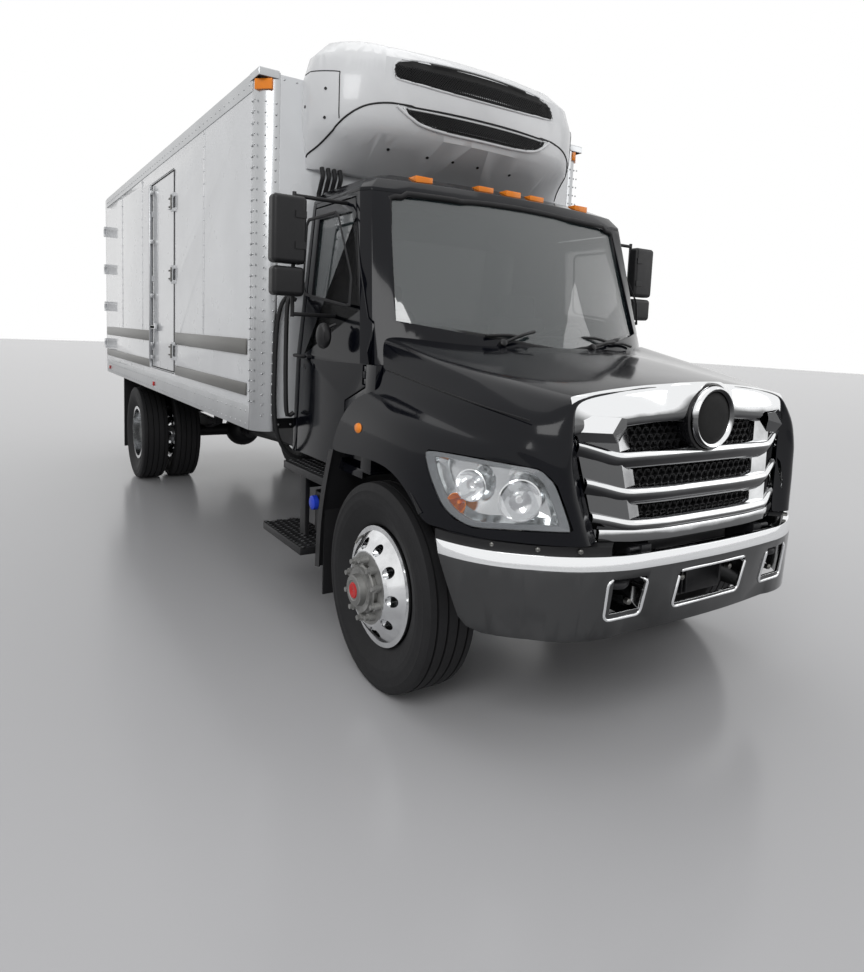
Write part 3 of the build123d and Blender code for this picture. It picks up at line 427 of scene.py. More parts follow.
class Finish(Enum):
    """Finishes of the truck's surfaces."""

    BLACK_PAINT = Paint((0.003, 0.0035, 0.006), 0.12, 0.16, shine=0.15)
    WHITE_PAINT = Paint((0.70, 0.715, 0.73), 0.28, 0.7, 0.05, wave=0.12)
    UNIT_WHITE = Paint((0.70, 0.71, 0.72), 0.35, 0.5, 0.08, peel=0.03)
    CHASSIS = Paint((0.012, 0.012, 0.014), 0.5, 0.1, 0.3, peel=0.2, shine=0.3)
    # Both plated chromes carry a painted reflection, and the bumper's also a painted highlight above 0.848 m.
    CHROME = Plated((0.86, 0.87, 0.88), 0.05, level=0.2)
    BUMPER_CHROME = Plated((0.86, 0.87, 0.88), 0.06, 0.03, 0.11, 0.848)
    CHROME_PLAIN = Metal((0.86, 0.87, 0.88), 0.08, 0.05)
    REFLECTOR = Metal((0.75, 0.77, 0.78), 0.16, 0.08, 0.6, (1, 1, 0.1))
    LAMP_GREY = Plastic((0.15, 0.16, 0.17), 0.25, 0.05, 300.0)
    MIRROR = Metal((0.80, 0.82, 0.83), 0.03, 0.02)
    HUB_GREY = Metal((0.30, 0.30, 0.29), 0.48, 0.15, 0.5)
    TYRE = Plastic((0.012, 0.012, 0.013), 0.66, 0.35, 220.0)
    GLOSS_BLACK = Paint((0.006, 0.006, 0.007), 0.2, 0.3, 0.05, shine=0.3)
    POLISHED = Metal((0.50, 0.51, 0.52), 0.3, 0.12, 0.05, (1, 1, 0.05))
    WHEEL = DiscWheel((0.80, 0.81, 0.82), (0.34, 0.34, 0.33))
    STEEL = Metal((0.17, 0.168, 0.16), 0.34, 0.12, 0.1, (1, 0.05, 1))
    RUBBER = Plastic((0.011, 0.011, 0.012), 0.62, 0.3, 250.0)
    VENT_BLACK = Plastic((0.006, 0.006, 0.006), 0.7, 0.2, 500.0)
    BLACK_PLASTIC = Plastic((0.012, 0.012, 0.013), 0.42, 0.2, 500.0)
    DUST_GREY = Plastic((0.30, 0.30, 0.28), 0.75, 0.3, 120.0)
    BLUE_PLASTIC = Plastic((0.02, 0.06, 0.6), 0.35, 0.1, 300.0)
    AMBER = Plastic((0.85, 0.24, 0.02), 0.15, 0.05, 300.0)
    RED = Plastic((0.5, 0.01, 0.01), 0.15, 0.05, 300.0)
    SEAT = Plastic((0.10, 0.10, 0.11), 0.85, 0.6, 900.0)
    TRIM = Plastic((0.13, 0.13, 0.135), 0.6, 0.25, 500.0)
    GLASS = Glass((0.03, 0.045, 0.048), 0.0, 1.75, 0.5)
    LENS = Glass((0.80, 0.83, 0.84), 0.02, 1.5, 0.10)

    def material(self) -> bpy.types.Material:
        """The finish's one material, made when it is first asked for."""
        name = "finish_" + self.name.lower()
        return bpy.data.materials.get(name) or self.value.build(name)


def dress(node: str, finish: Finish) -> None:
    """Gives a CAD node its finish.

    Args:
        node: the node's name.
        finish: the finish that takes the place of its own.
    """
    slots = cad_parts[node].data.materials
    slots.clear()
    slots.append(finish.material())


@dataclass
class Studio:
    """Pale floor, soft lamps and the camera at the photograph's viewing angle."""

    eye: Point = (-2.739, -2.974, 1.766)
    yaw: float = -33.72
    pitch: float = -6.34
    roll: float = 2.48
    focal_px: float = 706.1
    centre_px: tuple[float, float] = (443.6, 413.7)
    image: tuple[int, int] = (864, 972)
    sensor: float = 36.0
    far: float = 200.0
    floor_reach: float = 60.0
    floor_colour: Colour = (0.5, 0.5, 0.51)
    world_low: Colour = (0.78, 0.78, 0.79)
    world_high: Colour = (0.92, 0.92, 0.93)
    world_strength: float = 0.62

    def camera(self) -> None:
        """Sets the camera."""
        data = bpy.data.cameras.new("camera")
        obj = bpy.data.objects.new("camera", data)
        bpy.context.scene.collection.objects.link(obj)
        yaw, pitch, roll = (math.radians(v) for v in (self.yaw, self.pitch, self.roll))
        ahead = Vector((-math.sin(yaw) * math.cos(pitch), math.cos(yaw) * math.cos(pitch), math.sin(pitch)))
        right = ahead.cross(Vector((0, 0, 1))).normalized()
        up = right.cross(ahead)
        right, up = (right * math.cos(roll) + up * math.sin(roll), up * math.cos(roll) - right * math.sin(roll))
        turn = Matrix((right, up, -ahead)).transposed()
        obj.matrix_world = Matrix.Translation(at(*self.eye)) @ turn.to_4x4()
        width, height = self.image
        longest = max(self.image)
        data.sensor_width = self.sensor
        data.lens = self.focal_px * self.sensor / longest
        data.shift_x = -(self.centre_px[0] - width / 2) / longest
        data.shift_y = (self.centre_px[1] - height / 2) / longest
        data.clip_end = self.far
        bpy.context.scene.camera = obj

    def lamp(self, name: str, where: Point, aim: Point, size: float, power: float) -> None:
        """Adds one square area lamp.

        Args:
            name: its name.
            where: its place.
            aim: the point that it faces.
            size: its side.
            power: its power in watts.
        """
        data = bpy.data.lights.new(name, "AREA")
        data.size = size
        data.energy = power
        obj = bpy.data.objects.new(name, data)
        obj.location = at(*where)
        obj.rotation_euler = (at(*aim) - at(*where)).to_track_quat("-Z", "Y").to_euler()
        bpy.context.scene.collection.objects.link(obj)

    def floor(self) -> None:
        """Lays the plain floor."""
        mesh = bpy.data.meshes.new("floor")
        reach = self.floor_reach
        corners = [(-reach, -reach, 0), (reach, -reach, 0), (reach, reach, 0), (-reach, reach, 0)]
        mesh.from_pydata(corners, [], [(0, 1, 2, 3)])
        floor = bpy.data.objects.new("floor", mesh)
        bpy.context.scene.collection.objects.link(floor)
        s = Shading("floor")
        s.set(Base_Color=self.floor_colour, Roughness=0.2, Specular_IOR_Level=0.35)
        mesh.materials.append(s.material)

    def world(self) -> None:
        """Makes a world that lights softly and is plain white in view, in mirrors and through glass."""
        world = bpy.data.worlds.new("studio")
        bpy.context.scene.world = world
        world.use_nodes = True
        nodes = Nodes(world.node_tree)
        split = nodes.node("SeparateXYZ", Vector=nodes.node("TexCoord").outputs["Generated"])
        stops = ((0.0, self.world_low), (0.5, self.world_high))
        ramp = nodes.node("ValToRGB", {"stops": stops}, Fac=split.outputs[2])
        soft = nodes.tree.nodes["Background"]
        nodes.feed(soft.inputs["Color"], ramp.outputs[0])
        nodes.feed(soft.inputs["Strength"], self.world_strength)
        white = nodes.node("Background", Color=(1, 1, 1), Strength=1.0)
        rays = nodes.node("LightPath")
        camera, glossy, through_glass = (Sig(nodes.tree, rays.outputs[f"Is {kind} Ray"])
                                         for kind in ("Camera", "Glossy", "Transmission"))
        seen = camera.either(glossy).either(through_glass)
        blend = nodes.node("MixShader", i0=seen, i1=soft.outputs[0], i2=white.outputs[0])
        nodes.feed(nodes.tree.nodes["World Output"].inputs[0], blend.outputs[0])

    def build(self) -> None:
        """Makes the floor, world, lamps and camera."""
        self.floor()
        bpy.context.scene.view_settings.view_transform = "Standard"
        self.world()
        self.lamp("key", (-6.0, -5.0, 6.5), (0, 1.0, 1.0), 4.0, 260.0)
        self.lamp("fill", (7.0, -4.0, 5.0), (0, 1.0, 1.2), 5.0, 90.0)
        self.lamp("top", (0.0, 2.5, 9.0), (0, 2.5, 0), 7.0, 130.0)
        self.camera()


def through(points: Sequence[Point], steps: int) -> list[Vector]:
    """Points on a smooth curve with the same number of steps between each pair of given ones.

    Args:
        points: at least two points that the curve passes through.
        steps: steps from one given point to the next.

    Returns:
        The points, the given ones among them.
    """
    knots = [Vector(p) for p in points]
    knots = [2 * knots[0] - knots[1], *knots, 2 * knots[-1] - knots[-2]]
    result = []
    for a, b, c, d in zip(knots, knots[1:], knots[2:], knots[3:]):
        for step in range(steps):
            t = step / steps
            result.append(0.5 * (2 * b + (c - a) * t + (2 * a - 5 * b + 4 * c - d) * t * t
                                 + (3 * b - a - 3 * c + d) * t ** 3))
    return [*result, knots[-2]]


def smooth_line(points: Sequence[Point], count: int) -> list[Vector]:
    """Points spaced evenly along a smooth curve through the given ones.

    Args:
        points: at least two points that the curve passes through.
        count: how many points to return, the ends among them.

    Returns:
        The points, from the first given one to the last.
    """
    dense = through(points, CURVE_STEPS)
    lengths = [0.0]
    for a, b in zip(dense, dense[1:]):
        lengths.append(lengths[-1] + (b - a).length)
    result, index = [], 0
    for step in range(count):
        goal = lengths[-1] * step / (count - 1)
        while index < len(lengths) - 2 and lengths[index + 1] < goal:
            index += 1
        span = max(lengths[index + 1] - lengths[index], TINY)
        result.append(dense[index].lerp(dense[index + 1], min(1.0, (goal - lengths[index]) / span)))
    return result


class Skin:
    """Closest points on the surfaces of CAD nodes, for pieces that lie on them."""

    def __init__(self, *nodes: str) -> None:
        """Reads the nodes' meshes.

        Args:
            nodes: names of CAD nodes.
        """
        verts, faces = [], []
        for node in nodes:
            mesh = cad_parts[node].data
            start = len(verts)
            verts += [v.co.copy() for v in mesh.vertices]
            faces += [[start + index for index in face.vertices] for face in mesh.polygons]
        self.tree = BVHTree.FromPolygons(verts, faces)

    def on(self, point: Point, proud: float = 0.0) -> Point:
        """The surface's nearest point, moved out along its normal.

        Args:
            point: a point near the surface, counted from the front axle.
            proud: how far out it is moved.

        Returns:
            The point, counted from the front axle.
        """
        place, normal, _, _ = self.tree.find_nearest(at(*point))
        found = place + normal * proud
        return found.x, found.y - AXLE_Y, found.z

    def front(self, point: Sequence[float]) -> Point:
        """The surface's foremost point at that x and height, or the point itself where there is none."""
        hit = self.tree.ray_cast(at(point[0], -2.0, point[2]), Vector((0, 1, 0)))[0]
        return tuple(point) if hit is None else (point[0], hit.y - AXLE_Y, point[2])

    def along(self, points: Sequence[Point], count: int, proud: float = 0.0) -> list[Point]:
        """A smooth line through the points, laid on the surface."""
        return [self.on(tuple(p), proud) for p in smooth_line(points, count)]


def mirrored(half: Sequence[Point]) -> list[Point]:
    """A line from one side across the middle plane, given its half up to the middle."""
    return [*half, *[(-x, y, z) for x, y, z in reversed(half) if abs(x) > AXIS_GAP]]


def cushion(centre: Point, half: Point, lean: float) -> "Shape":
    """A stuffed pad with rounded sides and a slightly crowned face.

    Args:
        centre: its middle.
        half: half its size along x, y and z.
        lean: how far its top leans back.

    Returns:
        Its shape.
    """
    rows, power, levels, around = [], 0.28, 24, 48
    for step in range(1, levels):
        turn = math.pi * step / levels
        level, girth = math.cos(turn), math.sin(turn)
        level, girth = math.copysign(abs(level) ** power, level), abs(girth) ** power
        row = []
        for part in range(around):
            spin = 2 * math.pi * part / around
            across, deep = (math.copysign(abs(v) ** power, v) for v in (math.cos(spin), math.sin(spin)))
            row.append((centre[0] + half[0] * girth * across,
                        centre[1] + half[1] * girth * deep + lean * level * half[2],
                        centre[2] + half[2] * level))
        rows.append(row)
    return Shape().grid(rows, close=True, cap=True)


class Shape:
    """A mesh being put together, with front-axle coordinates turned into the frame's."""

    def __init__(self) -> None:
        """Starts empty."""
        self.mesh = bmesh.new()

    def points(self, places: Iterable[Point]) -> list[bmesh.types.BMVert]:
        """Adds vertices."""
        return [self.mesh.verts.new(at(*p)) for p in places]

    def grid(self, rows: Sequence[Sequence[Point]], close: bool = False, cap: bool = False) -> "Shape":
        """Adds a sheet of quads.

        Args:
            rows: rows of points, all as long as each other.
            close: joins the last point of every row to its first.
            cap: closes the first and last rows with one face each.

        Returns:
            This shape.
        """
        verts = [self.points(row) for row in rows]
        width = len(verts[0])
        for near, far in zip(verts, verts[1:]):
            for index in range(width if close else width - 1):
                nxt = (index + 1) % width
                self.mesh.faces.new((near[index], near[nxt], far[nxt], far[index]))
        if cap:
            self.mesh.faces.new(list(reversed(verts[0])))
            self.mesh.faces.new(verts[-1])
        return self

    def prism(self, outline: Sequence[tuple[float, float]], axis: str, low: float, high: float) -> "Shape":
        """Adds a prism.

        Args:
            outline: corners in the other two coordinates, in x, y, z order.
            axis: the prism's axis, x, y or z.
            low: its first end along the axis.
            high: its other end.

        Returns:
            This shape.
        """
        index = "xyz".index(axis)
        rows = []
        for level in (low, high):
            rows.append([(*p[:index], level, *p[index:]) for p in outline])
        return self.grid(rows, close=True, cap=True)

    def box(self, x: tuple[float, float], y: tuple[float, float], z: tuple[float, float]) -> "Shape":
        """Adds a box between two corners."""
        return self.prism([(x[0], y[0]), (x[1], y[0]), (x[1], y[1]), (x[0], y[1])], "z", z[0], z[1])

    def lathe(self, profile: Sequence[tuple[float, float]], centre: Point, axis: str = "x", steps: int = 32,
              close: bool = False) -> "Shape":
        """Adds a turned body.

        Args:
            profile: (along, radius) pairs from one end to the other.
            centre: the point that the profile's zero stands for.
            axis: the axis turned about.
            steps: segments around.
            close: joins the profile's end to its start.

        Returns:
            This shape.
        """
        index = "xyz".index(axis)
        rows = []
        for step in range(steps):
            turn = 2 * math.pi * step / steps
            row = []
            for along, radius in profile:
                flat = [radius * math.cos(turn), radius * math.sin(turn)]
                flat.insert(index, along)
                row.append(tuple(c + f for c, f in zip(centre, flat)))
            rows.append(row)
        verts = [self.points(row) for row in rows]
        last = len(profile) if close else len(profile) - 1
        for step in range(steps):
            near, far = verts[step], verts[(step + 1) % steps]
            for item in range(last):
                nxt = (item + 1) % len(profile)
                self.mesh.faces.new((near[item], near[nxt], far[nxt], far[item]))
        if not close:
            for item in (0, -1):
                if profile[item][1] > AXIS_GAP:
                    self.mesh.faces.new([row[item] for row in verts])
        return self

    def rod(self, start: Point, end: Point, radius: float, steps: int = 12, crown: float = 0.0) -> "Shape":
        """Adds a round bar.

        Args:
            start: the middle of its first end.
            end: the middle of its other end.
            radius: its radius.
            steps: segments around.
            crown: height of a domed cap on the other end, as a fraction of the radius.

        Returns:
            This shape.
        """
        first, last = Vector(start), Vector(end)
        along = (last - first).normalized()
        side = along.orthogonal().normalized()
        other = along.cross(side)
        length = (last - first).length
        rings = [(0.0, 1.0), (length, 1.0)]
        if crown:
            rings += [(length + radius * crown * 0.6, 0.75), (length + radius * crown, 0.3)]
        rows = []
        for level, width in rings:
            ring = []
            for step in range(steps):
                turn = 2 * math.pi * step / steps
                offset = (side * math.cos(turn) + other * math.sin(turn)) * radius * width
                ring.append(tuple(first + along * level + offset))
            rows.append(ring)
        return self.grid(rows, close=True, cap=True)

    def tube(self, path: Sequence[Point], radius: float, steps: int = 10, spans: int = 0) -> "Shape":
        """Adds a round tube.

        Args:
            path: points along its middle.
            radius: its radius.
            steps: segments around.
            spans: pieces that the path is smoothed into, or 0 for the path as it is.

        Returns:
            This shape.
        """
        line = smooth_line(path, spans + 1) if spans else [Vector(p) for p in path]
        side = (line[1] - line[0]).orthogonal().normalized()
        rows = []
        for index, point in enumerate(line):
            ahead = (line[min(index + 1, len(line) - 1)] - line[max(index - 1, 0)]).normalized()
            side = (side - ahead * side.dot(ahead)).normalized()
            other = ahead.cross(side)
            ring = []
            for step in range(steps):
                turn = 2 * math.pi * step / steps
                ring.append(tuple(point + (side * math.cos(turn) + other * math.sin(turn)) * radius))
            rows.append(ring)
        return self.grid(rows, close=True, cap=True)

    def hexes(self, centres: Iterable[Point], radius: float, depth: float, ring: float,
              axis: Point) -> "Shape":
        """Adds open six-sided cells, each a short wall around its hole.

        Args:
            centres: the middles of their front ends.
            radius: from a cell's middle to its outer corners.
            depth: how deep they are.
            ring: how thick their walls are.
            axis: direction from front to back.

        Returns:
            This shape.
        """
        along = Vector(axis).normalized()
        side = along.cross(Vector((0, 0, 1))).normalized()
        up = side.cross(along)
        for centre in centres:
            rows = []
            for level, size in ((0, radius), (0, radius - ring), (depth, radius - ring), (depth, radius)):
                row = []
                for corner in range(6):
                    turn = math.pi / 3 * corner
                    offset = side * math.cos(turn) * size + up * math.sin(turn) * size + along * level
                    row.append(tuple(Vector(centre) + offset))
                rows.append(row)
            self.grid([*rows, rows[0]], close=True)
        return self

    def both(self) -> "Shape":
        """Adds the mirror image across the centre plane.

        Returns:
            This shape.
        """
        copy = bmesh.ops.duplicate(
            self.mesh, geom=[*self.mesh.verts, *self.mesh.edges, *self.mesh.faces])["geom"]
        verts = [item for item in copy if isinstance(item, bmesh.types.BMVert)]
        faces = [item for item in copy if isinstance(item, bmesh.types.BMFace)]
        for vert in verts:
            vert.co.x = -vert.co.x
        bmesh.ops.reverse_faces(self.mesh, faces=faces)
        return self


@dataclass
class SubAssembly:
    """One group of pieces that is built and dressed together."""

    body: str = "chassis"

    def piece(self, name: str, shape: Shape, finish: Finish, slot: str, body: str | None = None,
              replaces: Sequence[str] = (), bevel: float = 0.0, levels: int = 0, thick: float = 0.0,
              angle: float = 35.0, weld: bool = False, segments: int = 2, facing: Point | None = None,
              cutter: Shape | None = None) -> bpy.types.Object:
        """Turns a shape into a finished piece of the truck.

        Args:
            name: the piece's name.
            shape: its mesh.
            finish: its finish.
            slot: not used.
            body: the body that it rides on, where it isn't the group's own.
            replaces: CAD nodes that it stands for.
            bevel: width of rounded edges in metres.
            levels: subdivision levels.
            thick: thickness given to an open sheet, inwards.
            angle: edges sharper than this many degrees stay sharp or are rounded.
            weld: joins points that coincide.
            segments: facets in a rounded edge.
            facing: direction that an open sheet's outer face looks in.
            cutter: closed shape that is cut out of the piece.

        Returns:
            The new object.
        """
        if weld:
            bmesh.ops.remove_doubles(shape.mesh, verts=shape.mesh.verts, dist=WELD_GAP)
        bmesh.ops.recalc_face_normals(shape.mesh, faces=shape.mesh.faces)
        if facing and sum((f.normal.dot(Vector(facing)) * f.calc_area() for f in shape.mesh.faces), 0.0) < 0:
            bmesh.ops.reverse_faces(shape.mesh, faces=shape.mesh.faces)
        mesh = bpy.data.meshes.new(name)
        shape.mesh.to_mesh(mesh)
        shape.mesh.free()
        obj = bpy.data.objects.new(name, mesh)
        bpy.context.scene.collection.objects.link(obj)
        mesh.materials.append(finish.material())
        self.finish_mesh(obj, bevel, levels, thick, angle, segments, cutter)
        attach(obj, body or self.body)
        if replaces:
            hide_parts(*replaces)
        LOG.info("%s: %d faces", name, len(obj.data.polygons))
        return obj

    def finish_mesh(self, obj: bpy.types.Object, bevel: float, levels: int, thick: float, angle: float,
                    segments: int, cutter: Shape | None) -> None:
        """Adds and applies the modifiers of one piece, and shades it smooth by angle.

        Args:
            obj: the piece.
            bevel: width of rounded edges in metres.
            levels: subdivision levels.
            thick: thickness given to an open sheet, inwards.
            angle: edges sharper than this many degrees stay sharp or are rounded.
            segments: facets in a rounded edge.
            cutter: closed shape that is cut out of the piece.
        """
        if levels:
            subdivide = obj.modifiers.new("subdivide", "SUBSURF")
            subdivide.levels = subdivide.render_levels = levels
        if thick:
            solid = obj.modifiers.new("thick", "SOLIDIFY")
            solid.thickness = thick
            solid.offset = -1.0
        tool = None
        if cutter:
            bmesh.ops.recalc_face_normals(cutter.mesh, faces=cutter.mesh.faces)
            tool = bpy.data.objects.new("cutter", bpy.data.meshes.new("cutter"))
            cutter.mesh.to_mesh(tool.data)
            bpy.context.scene.collection.objects.link(tool)
            cut = obj.modifiers.new("cut", "BOOLEAN")
            cut.object = tool
            cut.operation = "DIFFERENCE"
            cut.solver = "EXACT"
        if bevel:
            edge = obj.modifiers.new("bevel", "BEVEL")
            edge.width = bevel
            edge.segments = segments
            edge.limit_method = "ANGLE"
            edge.angle_limit = math.radians(angle)
            edge.harden_normals = False
        if obj.modifiers:
            depsgraph = bpy.context.evaluated_depsgraph_get()
            mesh = bpy.data.meshes.new_from_object(obj.evaluated_get(depsgraph))
            old = obj.data
            obj.modifiers.clear()
            obj.data = mesh
            bpy.data.meshes.remove(old)
            mesh.name = obj.name
        if tool:
            bpy.data.objects.remove(tool)
        obj.data.shade_smooth()
        obj.data.set_sharp_from_angle(angle=math.radians(angle))

    def softened(self, node: str, finish: Finish, slot: str, body: str | None = None, bevel: float = 0.01,
                 angle: float = 30.0, segments: int = 3) -> bpy.types.Object:
        """Stands in for a CAD node with the same form and rounded edges.

        Args:
            node: the node's name.
            finish: the new piece's finish.
            slot: not used; it is only handed on to piece().
            body: the body that it rides on, where it isn't the group's own.
            bevel: width of rounded edges in metres.
            angle: edges sharper than this many degrees are rounded.
            segments: facets in a rounded edge.

        Returns:
            The new object.
        """
        shape = Shape()
        mesh = shape.mesh
        mesh.from_mesh(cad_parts[node].data)
        bmesh.ops.remove_doubles(mesh, verts=mesh.verts, dist=WELD_GAP)
        bmesh.ops.dissolve_limit(mesh, angle_limit=math.radians(1.0), verts=mesh.verts, edges=mesh.edges)
        return self.piece(node + "_skin", shape, finish, slot, body, (node,), bevel, angle=angle,
                          segments=segments)


@dataclass
class Hood(SubAssembly):
    """Tilting hood in one piece with its fenders, and what is let into it."""

    body: str = "hood"
    steps: int = 6
    thickness: float = 0.012
    hem: float = 0.948
    arch: Sequence[tuple[float, float]] = ((0.443, 1.137), (0.29, 1.14), (0.089, 1.157), (-0.08, 1.156),
                                           (-0.183, 1.145), (-0.285, 1.099), (-0.353, 1.04), (-0.42, 0.965))
    seam: Sequence[Point] = ((1.036, 0.10, 1.582), (1.003, -0.28, 1.525), (0.965, -0.60, 1.478),
                             (0.90, -0.84, 1.441))

    def feature_lines(self) -> list[tuple[Point, ...]]:
        """Lines from the cowl to the grille on the driver's side.

        Returns:
            The lines, from the middle outwards and down.
        """
        crown = ((0.0, -0.13, 1.722), (0.0, -0.35, 1.688), (0.0, -0.62, 1.645), (0.0, -0.82, 1.615),
                 (0.0, -0.94, 1.592), (0.0, -0.935, 1.575))
        dome = ((0.40, -0.05, 1.722), (0.38, -0.30, 1.692), (0.35, -0.62, 1.642), (0.33, -0.82, 1.608),
                (0.32, -0.935, 1.585), (0.32, -0.93, 1.568))
        dome_foot = ((0.56, 0.02, 1.715), (0.53, -0.30, 1.672), (0.48, -0.60, 1.628), (0.46, -0.82, 1.594),
                     (0.45, -0.930, 1.570), (0.45, -0.925, 1.555))
        flat = ((0.78, 0.13, 1.735), (0.73, -0.29, 1.664), (0.665, -0.60, 1.612), (0.61, -0.81, 1.577),
                (0.59, -0.922, 1.556), (0.588, -0.918, 1.54))
        shoulder = ((0.955, 0.225, 1.752), (0.90, -0.28, 1.655), (0.83, -0.60, 1.596), (0.765, -0.82, 1.550),
                    (0.728, -0.910, 1.530), (0.705, -0.906, 1.520))
        brow = ((1.000, 0.23, 1.725), (0.948, -0.28, 1.622), (0.885, -0.60, 1.560), (0.81, -0.84, 1.500),
                (0.758, -0.925, 1.48), (0.722, -0.908, 1.475))
        seam = ((1.036, 0.13, 1.588), (1.003, -0.28, 1.522), (0.965, -0.60, 1.475), (0.89, -0.84, 1.425),
                (0.785, -0.952, 1.40), (0.722, -0.915, 1.39))
        ridge = ((1.046, 0.12, 1.556), (1.017, -0.30, 1.497), (0.972, -0.62, 1.447), (0.905, -0.83, 1.385),
                 (0.800, -0.958, 1.31), (0.714, -0.920, 1.32))
        wall = ((1.060, 0.11, 1.515), (1.030, -0.28, 1.465), (0.990, -0.60, 1.402), (0.930, -0.82, 1.345),
                (0.806, -0.960, 1.272), (0.708, -0.924, 1.27))
        valley = ((1.072, 0.12, 1.478), (1.048, -0.28, 1.418), (1.008, -0.58, 1.364), (0.938, -0.82, 1.325),
                  (0.806, -0.962, 1.245), (0.702, -0.928, 1.235))
        crest = ((1.112, 0.20, 1.456), (1.100, -0.25, 1.397), (1.042, -0.57, 1.350), (0.950, -0.80, 1.306),
                 (0.804, -0.964, 1.21), (0.694, -0.934, 1.20))
        cheek = ((1.146, 0.285, 1.400), (1.140, -0.22, 1.345), (1.072, -0.55, 1.315), (0.963, -0.795, 1.288),
                 (0.798, -0.968, 1.17), (0.682, -0.942, 1.155))
        side = ((1.166, 0.372, 1.285), (1.158, -0.20, 1.268), (1.088, -0.54, 1.262), (0.963, -0.795, 1.255),
                (0.786, -0.977, 1.11), (0.664, -0.952, 1.09))
        lamp = ((1.168, 0.42, 1.185), (1.161, -0.22, 1.185), (1.089, -0.54, 1.12), (0.963, -0.795, 1.10),
                (0.770, -0.985, 1.04), (0.644, -0.964, 1.02))
        hem = ((1.168, 0.443, 1.137), (1.158, -0.24, 1.122), (1.089, -0.54, 0.948), (0.963, -0.795, 0.946),
               (0.745, -1.000, 0.948), (0.622, -0.978, 0.946))
        return [crown, dome, dome_foot, flat, shoulder, brow, seam, ridge, wall, valley, crest, cheek, side,
                lamp, hem]

    def arch_height(self, y: float) -> float:
        """Height of the fender's lower edge.

        Args:
            y: distance behind the axle.

        Returns:
            The arch's height there, or the hem's in front of the arch.
        """
        for (back, high), (ahead, low) in zip(self.arch, self.arch[1:]):
            if ahead <= y <= back:
                return high + (low - high) * (back - y) / (back - ahead)
        return self.hem

    def build(self) -> None:
        """Makes the shell, the arch liners, the dark seams above the fenders and the side markers."""
        rows = [through(line, self.steps) for line in self.feature_lines()]
        for index, point in enumerate(rows[-1][:2 * self.steps + 1]):
            point.z = self.arch_height(point.y) if index else point.z
        shell = Shape().grid(rows).both()
        self.piece("hood_skin", shell, Finish.BLACK_PAINT, "black_paint", replaces=("hood_shell",), levels=2,
                   thick=self.thickness, weld=True, facing=(0, -0.3, 1), cutter=HeadLamps().opening(),
                   angle=60)
        liner = Shape()
        line = through([(0, y, z + 0.02) for y, z in self.arch], 4)
        liner.grid([[(x, p.y, p.z + drop) for p in line]
                    for x, drop in ((1.145, 0), (1.05, 0.03), (0.70, 0.03), (0.66, 0.02))])
        self.piece("arch_liners", liner.both(), Finish.BLACK_PLASTIC, "black_plastic", thick=0.005,
                   facing=(0, 0, -1))
        seam = Shape()
        line = through(self.seam, 8)
        outward = Vector((0.75, -0.15, 0.35)).normalized()
        seam.grid([[tuple(p + outward * (0.004 * out) + Vector((0, 0, up))) for p in line]
                   for out, up in ((0.2, 0.004), (1.0, 0.0025), (1.0, -0.0025), (0.2, -0.004))])
        self.piece("fender_seams", seam.both(), Finish.BLACK_PLASTIC, "black_plastic", facing=(0, -1, 0))
        marks = Shape()
        for side in (-1, 1):
            rows = [[(side * (1.150 + out),
                      0.145 + 0.034 * size * math.cos(t),
                      1.290 + 0.026 * size * math.sin(t))
                     for t in [math.pi * i / 14 for i in range(28)]]
                    for out, size in ((0.0, 1.0), (0.012, 1.0), (0.020, 0.85), (0.024, 0.4))]
            marks.grid(rows, close=True, cap=True)
        self.piece("fender_markers", marks, Finish.AMBER, "amber_lens", angle=50)


@dataclass
class WheelGuards(SubAssembly):
    """Curved guards behind the front tyres, ending in rubber flaps, and the inner walls of the arches."""

    line: Sequence[tuple[float, float]] = ((0.452, 1.135), (0.475, 1.08), (0.520, 0.96), (0.562, 0.82),
                                           (0.588, 0.68), (0.600, 0.52), (0.602, 0.44))

    def build(self) -> None:
        """Makes both sides."""
        line = through([(0, y, z) for y, z in self.line], 3)
        guard = Shape()
        section = ((1.150, 0.0), (1.150, 0.018), (1.07, 0.020), (0.72, 0.020), (0.70, 0.01))
        guard.grid([[(x, p.y + set_back, p.z) for p in line] for x, set_back in section])
        guard.grid([[(1.152, p.y, p.z) for p in line], [(1.152, p.y + 0.055, p.z - 0.012) for p in line]])
        self.piece("wheel_guards", guard.both(), Finish.BLACK_PLASTIC, "black_plastic", thick=0.005,
                   weld=True, angle=40)
        flaps = Shape().box((0.80, 1.09), (0.618, 0.630), (0.27, 0.60))
        self.piece("front_flaps", flaps.both(), Finish.RUBBER, "black_rubber", bevel=0.004)
        wall = Shape()
        outline = [(0.44, 1.10), (0.40, 0.88), (0.33, 0.70), (-0.30, 0.72), (-0.46, 0.95), (-0.30, 1.13),
                   (0.05, 1.17)]
        wall.prism(outline, "x", 0.512, 0.518)
        self.piece("arch_walls", wall.both(), Finish.DUST_GREY, "black_plastic", bevel=0.001)


